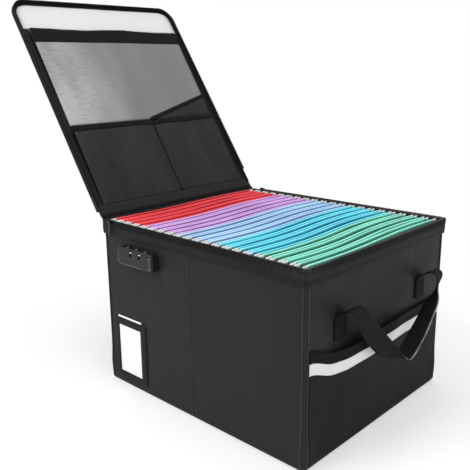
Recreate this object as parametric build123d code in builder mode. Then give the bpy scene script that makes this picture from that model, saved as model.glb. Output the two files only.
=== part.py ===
from build123d import *
import os
from math import atan2, cos, degrees, radians, sin, tan

# Portable file box: a zipped, board-stiffened fabric box for hanging folders.
# Millimetres. X runs along the folders' row, -X is the lid's hinge end and +X the
# pocket end. Y runs from the front wall (-Y, with the lock) to the back wall. +Z is up.
# The origin is the middle of the base, on the surface that the box stands on.

# ---- box ----
box_length = 380.0
box_width = 330.0
box_height = 260.0
corner_radius = 5.0
cover_thickness = 1.0
board_thickness = 2.6
lining_thickness = 0.8
base_edge_chamfer = 2.6
cutter_reach = 20.0         # how far a cutting shape runs past what it cuts
cutter_start = 1.0          # how far outside a wall a drilled hole begins and ends
fold_gap = 3.0              # between the two boards of a long wall, where it folds
fold_groove = 0.4           # depth of the stitched crease in the cover at that fold
fit = 0.1                   # between pieces of one body that lie curve on curve
clear = 0.3                 # between pieces of different bodies

# ---- rim and zip ----
band_height = 22.0
band_proud = 3.0
band_lip = 1.0
zip_tape_thickness = 0.6
zip_tape_height = 8.0
teeth_height = 1.4
teeth_inset = 1.2           # how far the teeth reach in over the band
zip_end = 33.5              # from the hinge axis to the first tooth

# ---- lid ----
lid_angle = 124.0           # opened from closed, as it stands
lid_closed_lift = 4.0       # hinge axis above the box's height
hinge_piping_radius = 1.6
hinge_side_gap = 7.0        # from the box's side walls to the hinge's ends
hinge_tape_thickness = 1.0
lid_start = 7.5             # from the hinge axis to the lid's back edge
lid_corner_radius = 26.0
lid_back_radius = 3.0
lid_cover_thickness = 0.8
lid_board_thickness = 2.0
lid_lining_thickness = 0.6
lid_lining_level = 2.5      # inner face of the lining above the hinge axis, when closed
lid_skirt_level = -0.6      # lower edge of the cover's turned-down side
lid_teeth_level = -3.7      # lower edge of the lid's teeth
lid_binding_width = 6.0
lid_binding_thickness = 1.0
hinge_strip_thickness = 1.2

# ---- lid pockets, along the lid from the hinge axis ----
pocket_mesh_thickness = 0.6
pocket_depth = 4.4
pocket_binding_gap = 0.6
pocket_side_gap = 8.5       # from the binding to a pocket's side
lower_pocket_height = 135.0
document_pocket_gap = 4.0
document_hem_width = 26.0
lower_hem_width = 8.0
pocket_hem_thickness = 0.8
pocket_divider_y = 8.0
corner_pocket_rise = 40.0
light_panel_gap = 1.0
light_panel_width = 46.0
light_panel_thickness = 0.4

# ---- hanging folders and their rails ----
rail_thickness = 1.2
rail_leg_height = 11.0
rail_ledge = 6.2            # from the wall to the outer face of the lip
rail_lip_height = 8.4
rail_level = 8.4            # underside of the hooks' notch, below the band's top
folder_paper_gap = 5.4      # from a folder's paper to the rail's lip
folder_colours = ["red", "purple", "blue", "cyan", "green"]
folders_per_colour = 4
folder_end_room = 3.0
folder_drop = 235.0
folder_sheet = 0.6
folder_mouth_share = 0.90   # of the pitch, at the top
folder_foot_width = 7.0
hook_bar_thickness = 1.4
hook_bar_height = 8.0
hook_tip_gap = 0.7          # between a hook's tip and the rail's leg
hook_notch_room = 0.8       # each side of the rail's lip
hook_notch_depth = 4.0
hook_seat_gap = 0.2

# ---- pocket on the +X end ----
side_pocket_piping_gap = 0.4
side_pocket_bottom = 8.0
side_pocket_top = 146.0
side_pocket_hem_height = 15.0
side_pocket_room_top = 11.2
side_pocket_room_bottom = 1.6
side_pocket_mesh_thickness = 0.8
side_pocket_hem_extra = 0.7
reflective_height = 15.0
reflective_thickness = 0.5

# ---- carrying handles ----
handle_anchor_y = 98.0
handle_width = 26.0
handle_thickness = 2.4
handle_axis_height = 199.0
handle_axis_reach = 20.5    # from the wall's cover
handle_hang_angle = 3.5     # out from straight down, as it hangs
handle_drop = 92.0          # from the axis to the point that the strap bends about
handle_shoulder = 24.0
handle_bend_radius = 22.0
riser_radius = 8.0
tab_height = 36.0
tab_thickness = 2.0
tab_below_riser = 6.0       # from the tab's top to where the strap's riser leaves it

# ---- combination lock ----
lock_left = -144.5
lock_width = 79.5
lock_height = 27.0
lock_top_gap = 10.0         # below the band
lock_depth = 12.0
lock_corner_radius = 7.0
lock_edge_chamfer = 1.2
dial_radius = 5.0
dial_width = 5.6
dial_sides = 10
dial_side_gap = 0.3
dial_proud = 1.4
dial_pitch = 19.4
dial_edge_chamfer = 0.5
first_dial_from_left = 21.6
axle_radius = 1.25
axle_fit = 0.05
axle_seat = 3.0             # how far the axle runs on past the outer dials
catch_slot_mouth = 6.4
catch_slot_height = 9.0
catch_slot_flare = 8.0
catch_slot_depth = 4.2
catch_slot_below_top = 2.5
catch_pin_radius = 1.5
catch_pin_below_top = 5.5
catch_pin_back = 2.0        # from the housing's face to the pin's middle
button_width = 7.0
button_height = 18.0
button_depth = 4.0
button_proud = 1.0
button_travel = 2.0
button_gap = 0.3
button_right = 2.0          # from the recess to the housing's right side
button_rib_count = 5
button_rib_depth = 0.4
button_rib_margin = 2.0     # from the ribs' ends to the button's ends
back_plate_thickness = 1.2
back_plate_margin = 8.0
rivet_radius = 1.5
rivet_head_radius = 3.0
rivet_head_height = 1.0
rivet_hole_clearance = 0.1
rivet_inset = 14.0

# ---- label holder ----
label_left = -170.0
label_width = 70.0
label_bottom = 14.0
label_height = 97.0
label_side_left = 7.0
label_side_right = 13.0
label_side_bottom = 9.0
label_side_top = 12.0
label_bezel_thickness = 0.8
label_space = 1.0
label_pocket_extra = 2.5
label_corner_radius = 3.0
window_thickness = 0.3
card_thickness = 0.5
card_gap = 0.1
card_over_frame = 2.5

# ---- zip sliders and pulls ----
slider_length = 8.0
slider_wall = 1.2
slider_drop = 6.0
slider_gap = 0.1
slider_tooth_gap = 2.5      # from the slider to the first tooth
ear_thickness = 1.2
ear_reach = 2.2
pull_pin_radius = 0.7
pull_eye_radius = 1.7
pull_fit = 0.05
pull_length = 20.0
pull_width = 4.6
pull_thickness = 1.4

# ---- corner piping ----
corner_piping_radius = 0.8
piping_sides = 8

# ---- sizes that follow ----
half_length = box_length / 2
half_width = box_width / 2
wall_thickness = cover_thickness + board_thickness + lining_thickness
board_offset = cover_thickness
lining_offset = cover_thickness + board_thickness
base_stack = wall_thickness
band_top = box_height - teeth_height
wall_top = band_top - band_lip
band_bottom = box_height - band_height
tape_proud = band_proud + zip_tape_thickness
hinge_x = -(half_length + band_proud)
hinge_z = box_height + lid_closed_lift
hinge_width = box_width - 2 * hinge_side_gap
lid_end = half_length + band_proud - hinge_x
lid_half_width = half_width + band_proud
lid_outer_level = lid_lining_level + lid_lining_thickness + lid_board_thickness + lid_cover_thickness
lid_inner = lid_cover_thickness + fit
pocket_outer_half = lid_half_width - lid_inner - lid_binding_width - pocket_side_gap
pocket_half_width = pocket_outer_half - pocket_mesh_thickness
lower_pocket_start = lid_start + lid_inner + lid_binding_width + pocket_binding_gap
lower_pocket_end = lower_pocket_start + lower_pocket_height
document_pocket_start = lower_pocket_end + document_pocket_gap
light_panel_end = lid_end - lid_cover_thickness - lid_binding_width - 2 * fit
light_panel_start = light_panel_end - light_panel_width
document_pocket_end = light_panel_start - light_panel_gap

lid_x = (cos(radians(lid_angle)), 0, sin(radians(lid_angle)))
lid_normal = (-sin(radians(lid_angle)), 0, cos(radians(lid_angle)))
lid_plane = Plane(origin=(hinge_x, 0, hinge_z), x_dir=lid_x, z_dir=lid_normal)
lid_side = Plane(origin=(hinge_x, 0, hinge_z), x_dir=lid_x, z_dir=(0, -1, 0))
side_view = Plane.XZ        # local x is +X and local y is +Z, extruded towards -Y
end_view = Plane.YZ         # local x is +Y and local y is +Z, extruded towards +X

written = []


def save(part, name):
    part.label = name
    export_step(part, f"parts/{name}.step")
    written.append(name)


def box_plan(inset, mode=Mode.ADD):
    """The box's plan, moved in from the cover's outer face by an inset (out if negative)."""
    RectangleRounded(box_length - 2 * inset, box_width - 2 * inset, corner_radius - inset, mode=mode)


def lid_plan(level, inset):
    """The lid's plan at an inset: nearly square at the hinge, round at the free corners."""
    start = lid_start + inset
    end = lid_end - inset
    with BuildSketch(lid_plane.offset(level)) as plan:
        with Locations(((start + end) / 2, 0)):
            Rectangle(end - start, 2 * (lid_half_width - inset))
        fillet(plan.vertices().group_by(Axis.X)[-1], lid_corner_radius - inset)
        fillet(plan.vertices().group_by(Axis.X)[0], max(lid_back_radius - inset, 0.5))
    return plan.sketch


os.makedirs("parts", exist_ok=True)

# ================= base =================

with BuildPart() as base_cover:
    with BuildSketch():
        box_plan(0)
    extrude(amount=base_stack)
    chamfer(base_cover.faces().sort_by(Axis.Z)[0].edges(), base_edge_chamfer)
    with BuildSketch(Plane.XY.offset(cover_thickness)):
        box_plan(base_edge_chamfer + cover_thickness)
    with BuildSketch(Plane.XY.offset(base_edge_chamfer + cover_thickness)):
        box_plan(cover_thickness)
    loft(ruled=True, mode=Mode.SUBTRACT)
    with BuildSketch(Plane.XY.offset(base_edge_chamfer + cover_thickness)):
        box_plan(cover_thickness)
    extrude(amount=base_stack, mode=Mode.SUBTRACT)
save(base_cover.part, "base_cover")

with BuildPart() as base_board:
    with BuildSketch(Plane.XY.offset(cover_thickness)):
        box_plan(cover_thickness + base_edge_chamfer + fit)
    with BuildSketch(Plane.XY.offset(cover_thickness + board_thickness)):
        box_plan(cover_thickness + fit)
    loft(ruled=True)
save(base_board.part, "base_board")

# ================= walls =================

lock_middle_z = band_bottom - lock_top_gap - lock_height / 2
rivet_places = [
    (lock_left + rivet_inset, lock_middle_z),
    (lock_left + lock_width - rivet_inset, lock_middle_z),
]


def rivet_holes():
    """The lock's rivet holes, drawn just outside the front wall."""
    with BuildSketch(side_view.offset(half_width + cutter_start)) as holes:
        with Locations(*rivet_places):
            Circle(rivet_radius + rivet_hole_clearance)
    return holes.sketch


rivet_hole_depth = -(wall_thickness + 2 * cutter_start)

with BuildPart() as wall_cover:
    with BuildSketch(Plane.XY.offset(base_stack)):
        box_plan(0)
        box_plan(cover_thickness, mode=Mode.SUBTRACT)
    extrude(amount=wall_top - base_stack)
    with BuildSketch(Plane.XY.offset(base_stack)):
        with Locations((0, -half_width), (0, half_width)):
            Rectangle(fold_gap / 2, 2 * fold_groove)
    extrude(amount=band_bottom - base_stack, mode=Mode.SUBTRACT)
    extrude(rivet_holes(), amount=rivet_hole_depth, mode=Mode.SUBTRACT)
save(wall_cover.part, "wall_cover")

with BuildPart() as wall_lining:
    with BuildSketch(Plane.XY.offset(lining_offset)):
        box_plan(lining_offset)
    extrude(amount=wall_top - lining_offset)
    with BuildSketch(Plane.XY.offset(base_stack)):
        box_plan(wall_thickness)
    extrude(amount=wall_top - base_stack, mode=Mode.SUBTRACT)
    extrude(rivet_holes(), amount=rivet_hole_depth, mode=Mode.SUBTRACT)
save(wall_lining.part, "wall_lining")

board_foot = cover_thickness + board_thickness
long_board_length = half_length - corner_radius - fold_gap / 2
long_board_middle = (half_length - corner_radius + fold_gap / 2) / 2
board_middle_offset = board_offset + board_thickness / 2

with BuildPart() as front_boards:
    with BuildSketch(Plane.XY.offset(board_foot)):
        with Locations((-long_board_middle, board_middle_offset - half_width)):
            Rectangle(long_board_length, board_thickness)
        with Locations((long_board_middle, board_middle_offset - half_width)):
            Rectangle(long_board_length, board_thickness)
    extrude(amount=wall_top - board_foot)
    extrude(rivet_holes(), amount=rivet_hole_depth, mode=Mode.SUBTRACT)
save(front_boards.part, "front_boards")

with BuildPart() as back_boards:
    with BuildSketch(Plane.XY.offset(board_foot)):
        with Locations((-long_board_middle, half_width - board_middle_offset)):
            Rectangle(long_board_length, board_thickness)
        with Locations((long_board_middle, half_width - board_middle_offset)):
            Rectangle(long_board_length, board_thickness)
    extrude(amount=wall_top - board_foot)
save(back_boards.part, "back_boards")

with BuildPart() as end_boards:
    with BuildSketch(Plane.XY.offset(board_foot)):
        with Locations((board_middle_offset - half_length, 0), (half_length - board_middle_offset, 0)):
            Rectangle(board_thickness, box_width - 2 * corner_radius)
    extrude(amount=wall_top - board_foot)
save(end_boards.part, "end_boards")

with BuildPart() as corner_piping:
    with BuildSketch(Plane.XY.offset(base_stack)):
        for x_side in (-1, 1):
            for y_side in (-1, 1):
                along_x = (x_side * (half_length - corner_radius), y_side * half_width)
                along_y = (x_side * half_length, y_side * (half_width - corner_radius))
                with Locations(along_x, along_y):
                    RegularPolygon(corner_piping_radius, piping_sides)
        box_plan(0, mode=Mode.SUBTRACT)
    extrude(amount=band_bottom - base_stack)
save(corner_piping.part, "corner_piping")

# ================= rim =================

with BuildPart() as rim_band:
    with BuildSketch(Plane.XY.offset(band_bottom)):
        box_plan(-band_proud)
        box_plan(0, mode=Mode.SUBTRACT)
    extrude(amount=wall_top - band_bottom)
    with BuildSketch(Plane.XY.offset(wall_top)):
        box_plan(-band_proud)
        box_plan(wall_thickness, mode=Mode.SUBTRACT)
    extrude(amount=band_lip)
save(rim_band.part, "rim_band")

with BuildPart() as box_zip_tape:
    with BuildSketch(Plane.XY.offset(band_top - zip_tape_height)):
        box_plan(-tape_proud)
        box_plan(-band_proud, mode=Mode.SUBTRACT)
        with Locations((hinge_x, 0)):
            Rectangle(2 * zip_end, box_width + 2 * cutter_reach, mode=Mode.SUBTRACT)
    extrude(amount=zip_tape_height)
save(box_zip_tape.part, "box_zip_tape")

with BuildPart() as box_zip_teeth:
    with BuildSketch(Plane.XY.offset(band_top)):
        box_plan(-tape_proud)
        box_plan(teeth_inset - band_proud, mode=Mode.SUBTRACT)
        with Locations((hinge_x, 0)):
            Rectangle(2 * zip_end, box_width + 2 * cutter_reach, mode=Mode.SUBTRACT)
    extrude(amount=teeth_height)
save(box_zip_teeth.part, "box_zip_teeth")

# The tape rises from the band to the piped edge that the lid folds about.
with BuildPart() as hinge_tape:
    with BuildSketch(side_view):
        with Locations((hinge_x + hinge_tape_thickness / 2, (band_top + hinge_z) / 2)):
            Rectangle(hinge_tape_thickness, hinge_z - band_top)
        with Locations((hinge_x, hinge_z)):
            Circle(hinge_piping_radius)
    extrude(amount=hinge_width / 2, both=True)
save(hinge_tape.part, "hinge_tape")

# ================= lid, drawn in its own plane and standing open =================

lid_board_level = lid_lining_level + lid_lining_thickness
lid_top_level = lid_board_level + lid_board_thickness

with BuildPart() as lid_cover:
    extrude(lid_plan(lid_skirt_level, 0), amount=lid_outer_level - lid_skirt_level)
    room = lid_plan(lid_skirt_level, lid_cover_thickness)
    extrude(room, amount=lid_top_level - lid_skirt_level, mode=Mode.SUBTRACT)
save(lid_cover.part, "lid_cover")

with BuildPart() as lid_board:
    extrude(lid_plan(lid_board_level, lid_inner), amount=lid_board_thickness)
save(lid_board.part, "lid_board")

with BuildPart() as lid_lining:
    extrude(lid_plan(lid_lining_level, lid_inner), amount=lid_lining_thickness)
save(lid_lining.part, "lid_lining")

with BuildPart() as lid_binding:
    binding_level = lid_lining_level - lid_binding_thickness
    extrude(lid_plan(binding_level, lid_inner), amount=lid_binding_thickness)
    room = lid_plan(binding_level, lid_inner + lid_binding_width)
    extrude(room, amount=lid_binding_thickness, mode=Mode.SUBTRACT)
save(lid_binding.part, "lid_binding")


def lid_hinge_side(level):
    """The part of the lid along the hinge that the zip leaves open."""
    with BuildSketch(lid_plane.offset(level)) as side:
        Rectangle(2 * zip_end, box_width + 2 * cutter_reach)
    return side.sketch


lid_tape_level = lid_teeth_level + teeth_height
lid_tape_height = zip_tape_height - teeth_height

with BuildPart() as lid_zip_tape:
    extrude(lid_plan(lid_tape_level, -zip_tape_thickness), amount=lid_tape_height)
    extrude(lid_plan(lid_tape_level, 0), amount=lid_tape_height, mode=Mode.SUBTRACT)
    extrude(lid_hinge_side(lid_tape_level), amount=lid_tape_height, mode=Mode.SUBTRACT)
save(lid_zip_tape.part, "lid_zip_tape")

with BuildPart() as lid_zip_teeth:
    extrude(lid_plan(lid_teeth_level, -zip_tape_thickness), amount=teeth_height)
    extrude(lid_plan(lid_teeth_level, teeth_inset), amount=teeth_height, mode=Mode.SUBTRACT)
    extrude(lid_hinge_side(lid_teeth_level), amount=teeth_height, mode=Mode.SUBTRACT)
save(lid_zip_teeth.part, "lid_zip_teeth")

with BuildPart() as lid_hinge_strip:
    strip_start = hinge_piping_radius + clear
    with BuildSketch(lid_side):
        with Locations(((strip_start + lid_start) / 2, 0)):
            Rectangle(lid_start - strip_start, hinge_strip_thickness)
    extrude(amount=hinge_width / 2, both=True)
save(lid_hinge_strip.part, "lid_hinge_strip")

# ---- pockets in the lid: sheets sewn down at their foot, with gussets that open to the mouth ----


def pocket_sheet(start, end):
    """A pocket's sheet in side view, from its sewn foot to its mouth."""
    with BuildSketch(lid_side) as sheet:
        Polygon(
            (start, lid_lining_level),
            (start, lid_lining_level - pocket_mesh_thickness),
            (end, lid_lining_level - pocket_depth - pocket_mesh_thickness),
            (end, lid_lining_level - pocket_depth),
            align=None,
        )
    return sheet.sketch


def pocket_gusset(start, end, middle_y):
    """A gusset in side view, between the lining and the sheet, drawn where it stands."""
    fold = fit * (end - start) / pocket_depth
    with BuildSketch(lid_side.offset(-middle_y)) as gusset:
        Polygon(
            (start + fold, lid_lining_level),
            (end, lid_lining_level),
            (end, lid_lining_level - pocket_depth + fit),
            align=None,
        )
    return gusset.sketch


gusset_y = pocket_half_width + pocket_mesh_thickness / 2

with BuildPart() as document_pocket_mesh:
    sheet = pocket_sheet(document_pocket_start, document_pocket_end)
    extrude(sheet, amount=pocket_outer_half, both=True)
    for middle_y in (-gusset_y, gusset_y):
        gusset = pocket_gusset(document_pocket_start, document_pocket_end, middle_y)
        extrude(gusset, amount=pocket_mesh_thickness / 2, both=True)
save(document_pocket_mesh.part, "document_pocket_mesh")

with BuildPart() as lower_pocket_mesh:
    sheet = pocket_sheet(lower_pocket_start, lower_pocket_end)
    extrude(sheet, amount=pocket_outer_half, both=True)
    for middle_y in (-gusset_y, pocket_divider_y, gusset_y):
        gusset = pocket_gusset(lower_pocket_start, lower_pocket_end, middle_y)
        extrude(gusset, amount=pocket_mesh_thickness / 2, both=True)
save(lower_pocket_mesh.part, "lower_pocket_mesh")


def hem_strip(start, end, width):
    """A hem in side view, on the outside of a pocket's sheet and along its slope."""
    rise = pocket_depth / (end - start)
    mouth = lid_lining_level - pocket_depth - pocket_mesh_thickness
    foot = mouth + rise * width
    with BuildSketch(lid_side) as hem:
        Polygon(
            (end - width, foot),
            (end, mouth),
            (end, mouth - pocket_hem_thickness),
            (end - width, foot - pocket_hem_thickness),
            align=None,
        )
    return hem.sketch


with BuildPart() as document_pocket_hem:
    strip = hem_strip(document_pocket_start, document_pocket_end, document_hem_width)
    extrude(strip, amount=pocket_outer_half, both=True)
save(document_pocket_hem.part, "document_pocket_hem")

with BuildPart() as lower_pocket_hem:
    strip = hem_strip(lower_pocket_start, lower_pocket_end, lower_hem_width)
    extrude(strip, amount=pocket_outer_half, both=True)
save(lower_pocket_hem.part, "lower_pocket_hem")

# The corner pocket's sheet lies on the document pocket's, so its plane has the same slope.
document_slope = degrees(atan2(pocket_depth, document_pocket_end - document_pocket_start))
slope_origin = lid_side.from_local_coords(
    Vector(document_pocket_start, lid_lining_level - pocket_mesh_thickness, 0)
)
slope_x = lid_side.from_local_coords(
    Vector(document_pocket_end, lid_lining_level - pocket_depth - pocket_mesh_thickness, 0)
) - slope_origin
document_sheet = Plane(origin=slope_origin, x_dir=slope_x, z_dir=slope_x.cross(Vector(0, 1, 0)))
corner_pocket_foot = 1.0

with BuildPart() as corner_pocket_mesh:
    with BuildSketch(document_sheet):
        Polygon(
            (corner_pocket_foot, pocket_divider_y),
            (corner_pocket_foot, pocket_half_width),
            (corner_pocket_foot + corner_pocket_rise, pocket_half_width),
            (corner_pocket_foot + lower_hem_width, pocket_divider_y),
            align=None,
        )
    extrude(amount=-pocket_mesh_thickness)
save(corner_pocket_mesh.part, "corner_pocket_mesh")

with BuildPart() as corner_pocket_hem:
    with BuildSketch(document_sheet.offset(-pocket_mesh_thickness)):
        Polygon(
            (corner_pocket_foot, pocket_divider_y),
            (corner_pocket_foot + lower_hem_width, pocket_divider_y),
            (corner_pocket_foot + corner_pocket_rise, pocket_half_width),
            (corner_pocket_foot + corner_pocket_rise - lower_hem_width, pocket_half_width),
            align=None,
        )
    extrude(amount=-pocket_mesh_thickness / 2)
save(corner_pocket_hem.part, "corner_pocket_hem")

with BuildPart() as lid_light_panel:
    panel_half = lid_half_width - lid_cover_thickness - lid_binding_width - 2 * fit
    with BuildSketch(lid_plane.offset(lid_lining_level - light_panel_thickness)) as plan:
        with Locations(((light_panel_start + light_panel_end) / 2, 0)):
            Rectangle(light_panel_width, 2 * panel_half)
        far_corners = plan.vertices().group_by(Axis.X)[-1]
        fillet(far_corners, lid_corner_radius - lid_cover_thickness - lid_binding_width)
    extrude(amount=light_panel_thickness)
save(lid_light_panel.part, "lid_light_panel")

# ================= rails =================

rail_wall = half_width - wall_thickness
rail_lip_outer = rail_wall - rail_ledge
rail_lip_top = band_top - rail_level + hook_notch_depth
rail_floor = rail_lip_top - rail_lip_height
rail_length = box_length - 2 * corner_radius

with BuildPart() as file_rails:
    for side in (-1, 1):
        with BuildSketch(end_view.offset(-rail_length / 2)):
            with Locations((side * (rail_wall - rail_thickness / 2), rail_floor + rail_leg_height / 2)):
                Rectangle(rail_thickness, rail_leg_height)
            with Locations((side * (rail_wall - rail_ledge / 2), rail_floor + rail_thickness / 2)):
                Rectangle(rail_ledge, rail_thickness)
            with Locations((side * (rail_lip_outer + rail_thickness / 2), rail_floor + rail_lip_height / 2)):
                Rectangle(rail_thickness, rail_lip_height)
        extrude(amount=rail_length)
save(file_rails.part, "file_rails")

# ================= hanging folders =================

folder_count = folders_per_colour * len(folder_colours)
folder_row = box_length - 2 * wall_thickness - 2 * folder_end_room
folder_pitch = folder_row / folder_count
folder_mouth = folder_pitch * folder_mouth_share
hook_notch_top = rail_lip_top + hook_seat_gap
hook_top = hook_notch_top + hook_bar_height - hook_notch_depth
folder_top = hook_top + folder_sheet
folder_bottom = folder_top - folder_drop
hook_reach = rail_wall - rail_thickness - hook_tip_gap
folder_paper_width = 2 * (rail_lip_outer - folder_paper_gap)
notch_middle = rail_lip_outer + rail_thickness / 2
notch_width = rail_thickness + 2 * hook_notch_room
folder_lean = (folder_mouth - folder_foot_width) / 2 / folder_drop


def folder_places(colour_index):
    """The middles of one colour's folders along the row."""
    first = -folder_row / 2 + folder_pitch * (colour_index * folders_per_colour + 0.5)
    return [first + folder_pitch * i for i in range(folders_per_colour)]


for colour_index, colour in enumerate(folder_colours):
    with BuildPart() as folders:
        with BuildSketch(side_view):
            for middle in folder_places(colour_index):
                mouth = folder_mouth / 2
                foot = folder_foot_width / 2
                Polygon(
                    (middle - mouth, folder_top),
                    (middle - foot, folder_bottom),
                    (middle + foot, folder_bottom),
                    (middle + mouth, folder_top),
                    (middle + mouth - folder_sheet, folder_top),
                    (middle + foot - folder_sheet, folder_bottom + folder_sheet),
                    (middle - foot + folder_sheet, folder_bottom + folder_sheet),
                    (middle - mouth + folder_sheet, folder_top),
                    align=None,
                )
        extrude(amount=folder_paper_width / 2, both=True)
    save(folders.part, f"{colour}_folders")

    with BuildPart() as folder_hooks:
        lean_room = folder_lean * (hook_bar_height + folder_sheet) + fit
        for middle in folder_places(colour_index):
            for leaf in (-1, 1):
                bar_face = folder_mouth / 2 - folder_sheet - lean_room - hook_bar_thickness / 2
                bar_x = middle + leaf * bar_face
                with BuildSketch(end_view.offset(bar_x)):
                    with Locations((0, hook_top - hook_bar_height / 2)):
                        Rectangle(2 * hook_reach, hook_bar_height)
                    with Locations((-notch_middle, 0), (notch_middle, 0)):
                        with Locations((0, hook_notch_top - hook_bar_height / 2)):
                            Rectangle(notch_width, hook_bar_height, mode=Mode.SUBTRACT)
                extrude(amount=hook_bar_thickness / 2, both=True)
    save(folder_hooks.part, f"{colour}_folder_hooks")

# ================= pocket on the +X end =================

# how the pocket's room swells: share of its half width, share of its fullest depth
bulge_shape = [(-0.78, 0.32), (-0.52, 0.84), (-0.27, 1.0), (0.06, 0.66), (0.40, 0.36), (0.80, 0.24)]
side_pocket_half_width = half_width - corner_radius - corner_piping_radius - side_pocket_piping_gap


def room_at(height):
    """The pocket's room at a height, between the wall and the mesh at its fullest place."""
    share = (height - side_pocket_bottom) / (side_pocket_top - side_pocket_bottom)
    return side_pocket_room_bottom + share * (side_pocket_room_top - side_pocket_room_bottom)


def pocket_section(height, extra=0.0, end_inset=0.0):
    """The room's plan at a height, or a layer's at an extra depth outside the room."""
    half = side_pocket_half_width - end_inset
    reach = room_at(height)
    points = [(half_length, -half)]
    points += [(half_length + reach * x + extra, half * y) for y, x in bulge_shape]
    points += [(half_length, half)]
    with BuildSketch(Plane.XY.offset(height)) as section:
        with BuildLine():
            Spline(*points)
            Line(points[-1], points[0])
        make_face()
    return section.sketch


pocket_hem_bottom = side_pocket_top - side_pocket_hem_height
end_taper = 1.2             # how far the room's ends stop short of the sewn sides

with BuildPart() as side_pocket_mesh:
    low = pocket_section(side_pocket_bottom, side_pocket_mesh_thickness)
    high = pocket_section(pocket_hem_bottom, side_pocket_mesh_thickness)
    loft([low, high], ruled=True)
    low = pocket_section(side_pocket_bottom + side_pocket_mesh_thickness, 0, end_taper)
    high = pocket_section(pocket_hem_bottom, 0, end_taper)
    loft([low, high], ruled=True, mode=Mode.SUBTRACT)
save(side_pocket_mesh.part, "side_pocket_mesh")

with BuildPart() as side_pocket_hem:
    low = pocket_section(pocket_hem_bottom, side_pocket_mesh_thickness + side_pocket_hem_extra)
    high = pocket_section(side_pocket_top, side_pocket_mesh_thickness + side_pocket_hem_extra)
    loft([low, high], ruled=True)
    low = pocket_section(pocket_hem_bottom, 0, end_taper)
    high = pocket_section(side_pocket_top, 0, end_taper)
    loft([low, high], ruled=True, mode=Mode.SUBTRACT)
save(side_pocket_hem.part, "side_pocket_hem")

with BuildPart() as reflective_strip:
    strip_bottom = pocket_hem_bottom - reflective_height
    strip_inner = side_pocket_mesh_thickness + fit
    low = pocket_section(strip_bottom, strip_inner + reflective_thickness)
    high = pocket_section(pocket_hem_bottom, strip_inner + reflective_thickness)
    loft([low, high], ruled=True)
    low = pocket_section(strip_bottom, strip_inner)
    high = pocket_section(pocket_hem_bottom, strip_inner)
    loft([low, high], ruled=True, mode=Mode.SUBTRACT)
save(reflective_strip.part, "reflective_strip")

# ================= carrying handles =================

# The webbing leaves the top of a sewn tab, turns outward and ends at the swinging strap.
riser_middle = half_length + handle_thickness / 2
riser_end = half_length + handle_axis_reach - handle_thickness / 2 - clear
tab_top = handle_axis_height - riser_radius
handle_axis_x = half_length + handle_axis_reach
hang = radians(handle_hang_angle)

for side, side_name in ((1, "right"), (-1, "left")):
    with BuildPart() as handle_tabs:
        with BuildSketch(end_view.offset(side * half_length)):
            tab_middle_z = tab_top - tab_height / 2
            with Locations((-handle_anchor_y, tab_middle_z), (handle_anchor_y, tab_middle_z)):
                Rectangle(handle_width, tab_height)
        extrude(amount=side * tab_thickness)
        for anchor_y in (-handle_anchor_y, handle_anchor_y):
            with BuildSketch(side_view.offset(-anchor_y)):
                with BuildLine():
                    FilletPolyline(
                        (side * riser_middle, tab_top - tab_below_riser),
                        (side * riser_middle, handle_axis_height),
                        (side * riser_end, handle_axis_height),
                        radius=riser_radius,
                    )
                trace(line_width=handle_thickness)
            extrude(amount=handle_width / 2, both=True)
    save(handle_tabs.part, f"{side_name}_handle_tabs")

    with BuildPart() as handle_strap:
        strap_plane = Plane(
            origin=(side * handle_axis_x, 0, handle_axis_height),
            x_dir=(0, side, 0),
            z_dir=(side * cos(hang), 0, sin(hang)),
        )
        with BuildSketch(strap_plane):
            with BuildLine():
                FilletPolyline(
                    (-handle_anchor_y, 0),
                    (-handle_anchor_y, -handle_shoulder),
                    (0, -handle_drop),
                    (handle_anchor_y, -handle_shoulder),
                    (handle_anchor_y, 0),
                    radius=handle_bend_radius,
                )
            trace(line_width=handle_width)
        extrude(amount=handle_thickness / 2, both=True)
        # the strap's ends are rounded about the line that it swings on
        for anchor_y in (-handle_anchor_y, handle_anchor_y):
            with BuildSketch(side_view.offset(-anchor_y)):
                with Locations((side * handle_axis_x, handle_axis_height)):
                    Circle(handle_thickness / 2)
            extrude(amount=handle_width / 2, both=True)
    save(handle_strap.part, f"{side_name}_handle_strap")

# ================= combination lock =================

lock_right = lock_left + lock_width
lock_middle_x = lock_left + lock_width / 2
lock_top = lock_middle_z + lock_height / 2
lock_front_y = -half_width - lock_depth
dial_axis_y = -half_width - lock_depth / 2
dial_axis_z = lock_top + dial_proud - dial_radius
first_dial_x = lock_left + first_dial_from_left
dial_places = [first_dial_x + dial_pitch * i for i in range(3)]
catch_places = [first_dial_x + dial_pitch / 2, first_dial_x + dial_pitch * 3 / 2]
recess_width = button_width + button_travel + 2 * button_gap
recess_middle = lock_right - button_right - recess_width / 2
button_x = recess_middle + button_travel / 2
axle_end = dial_width / 2 + axle_seat
axle_low = dial_places[0] - axle_end
axle_high = dial_places[-1] + axle_end

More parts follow.
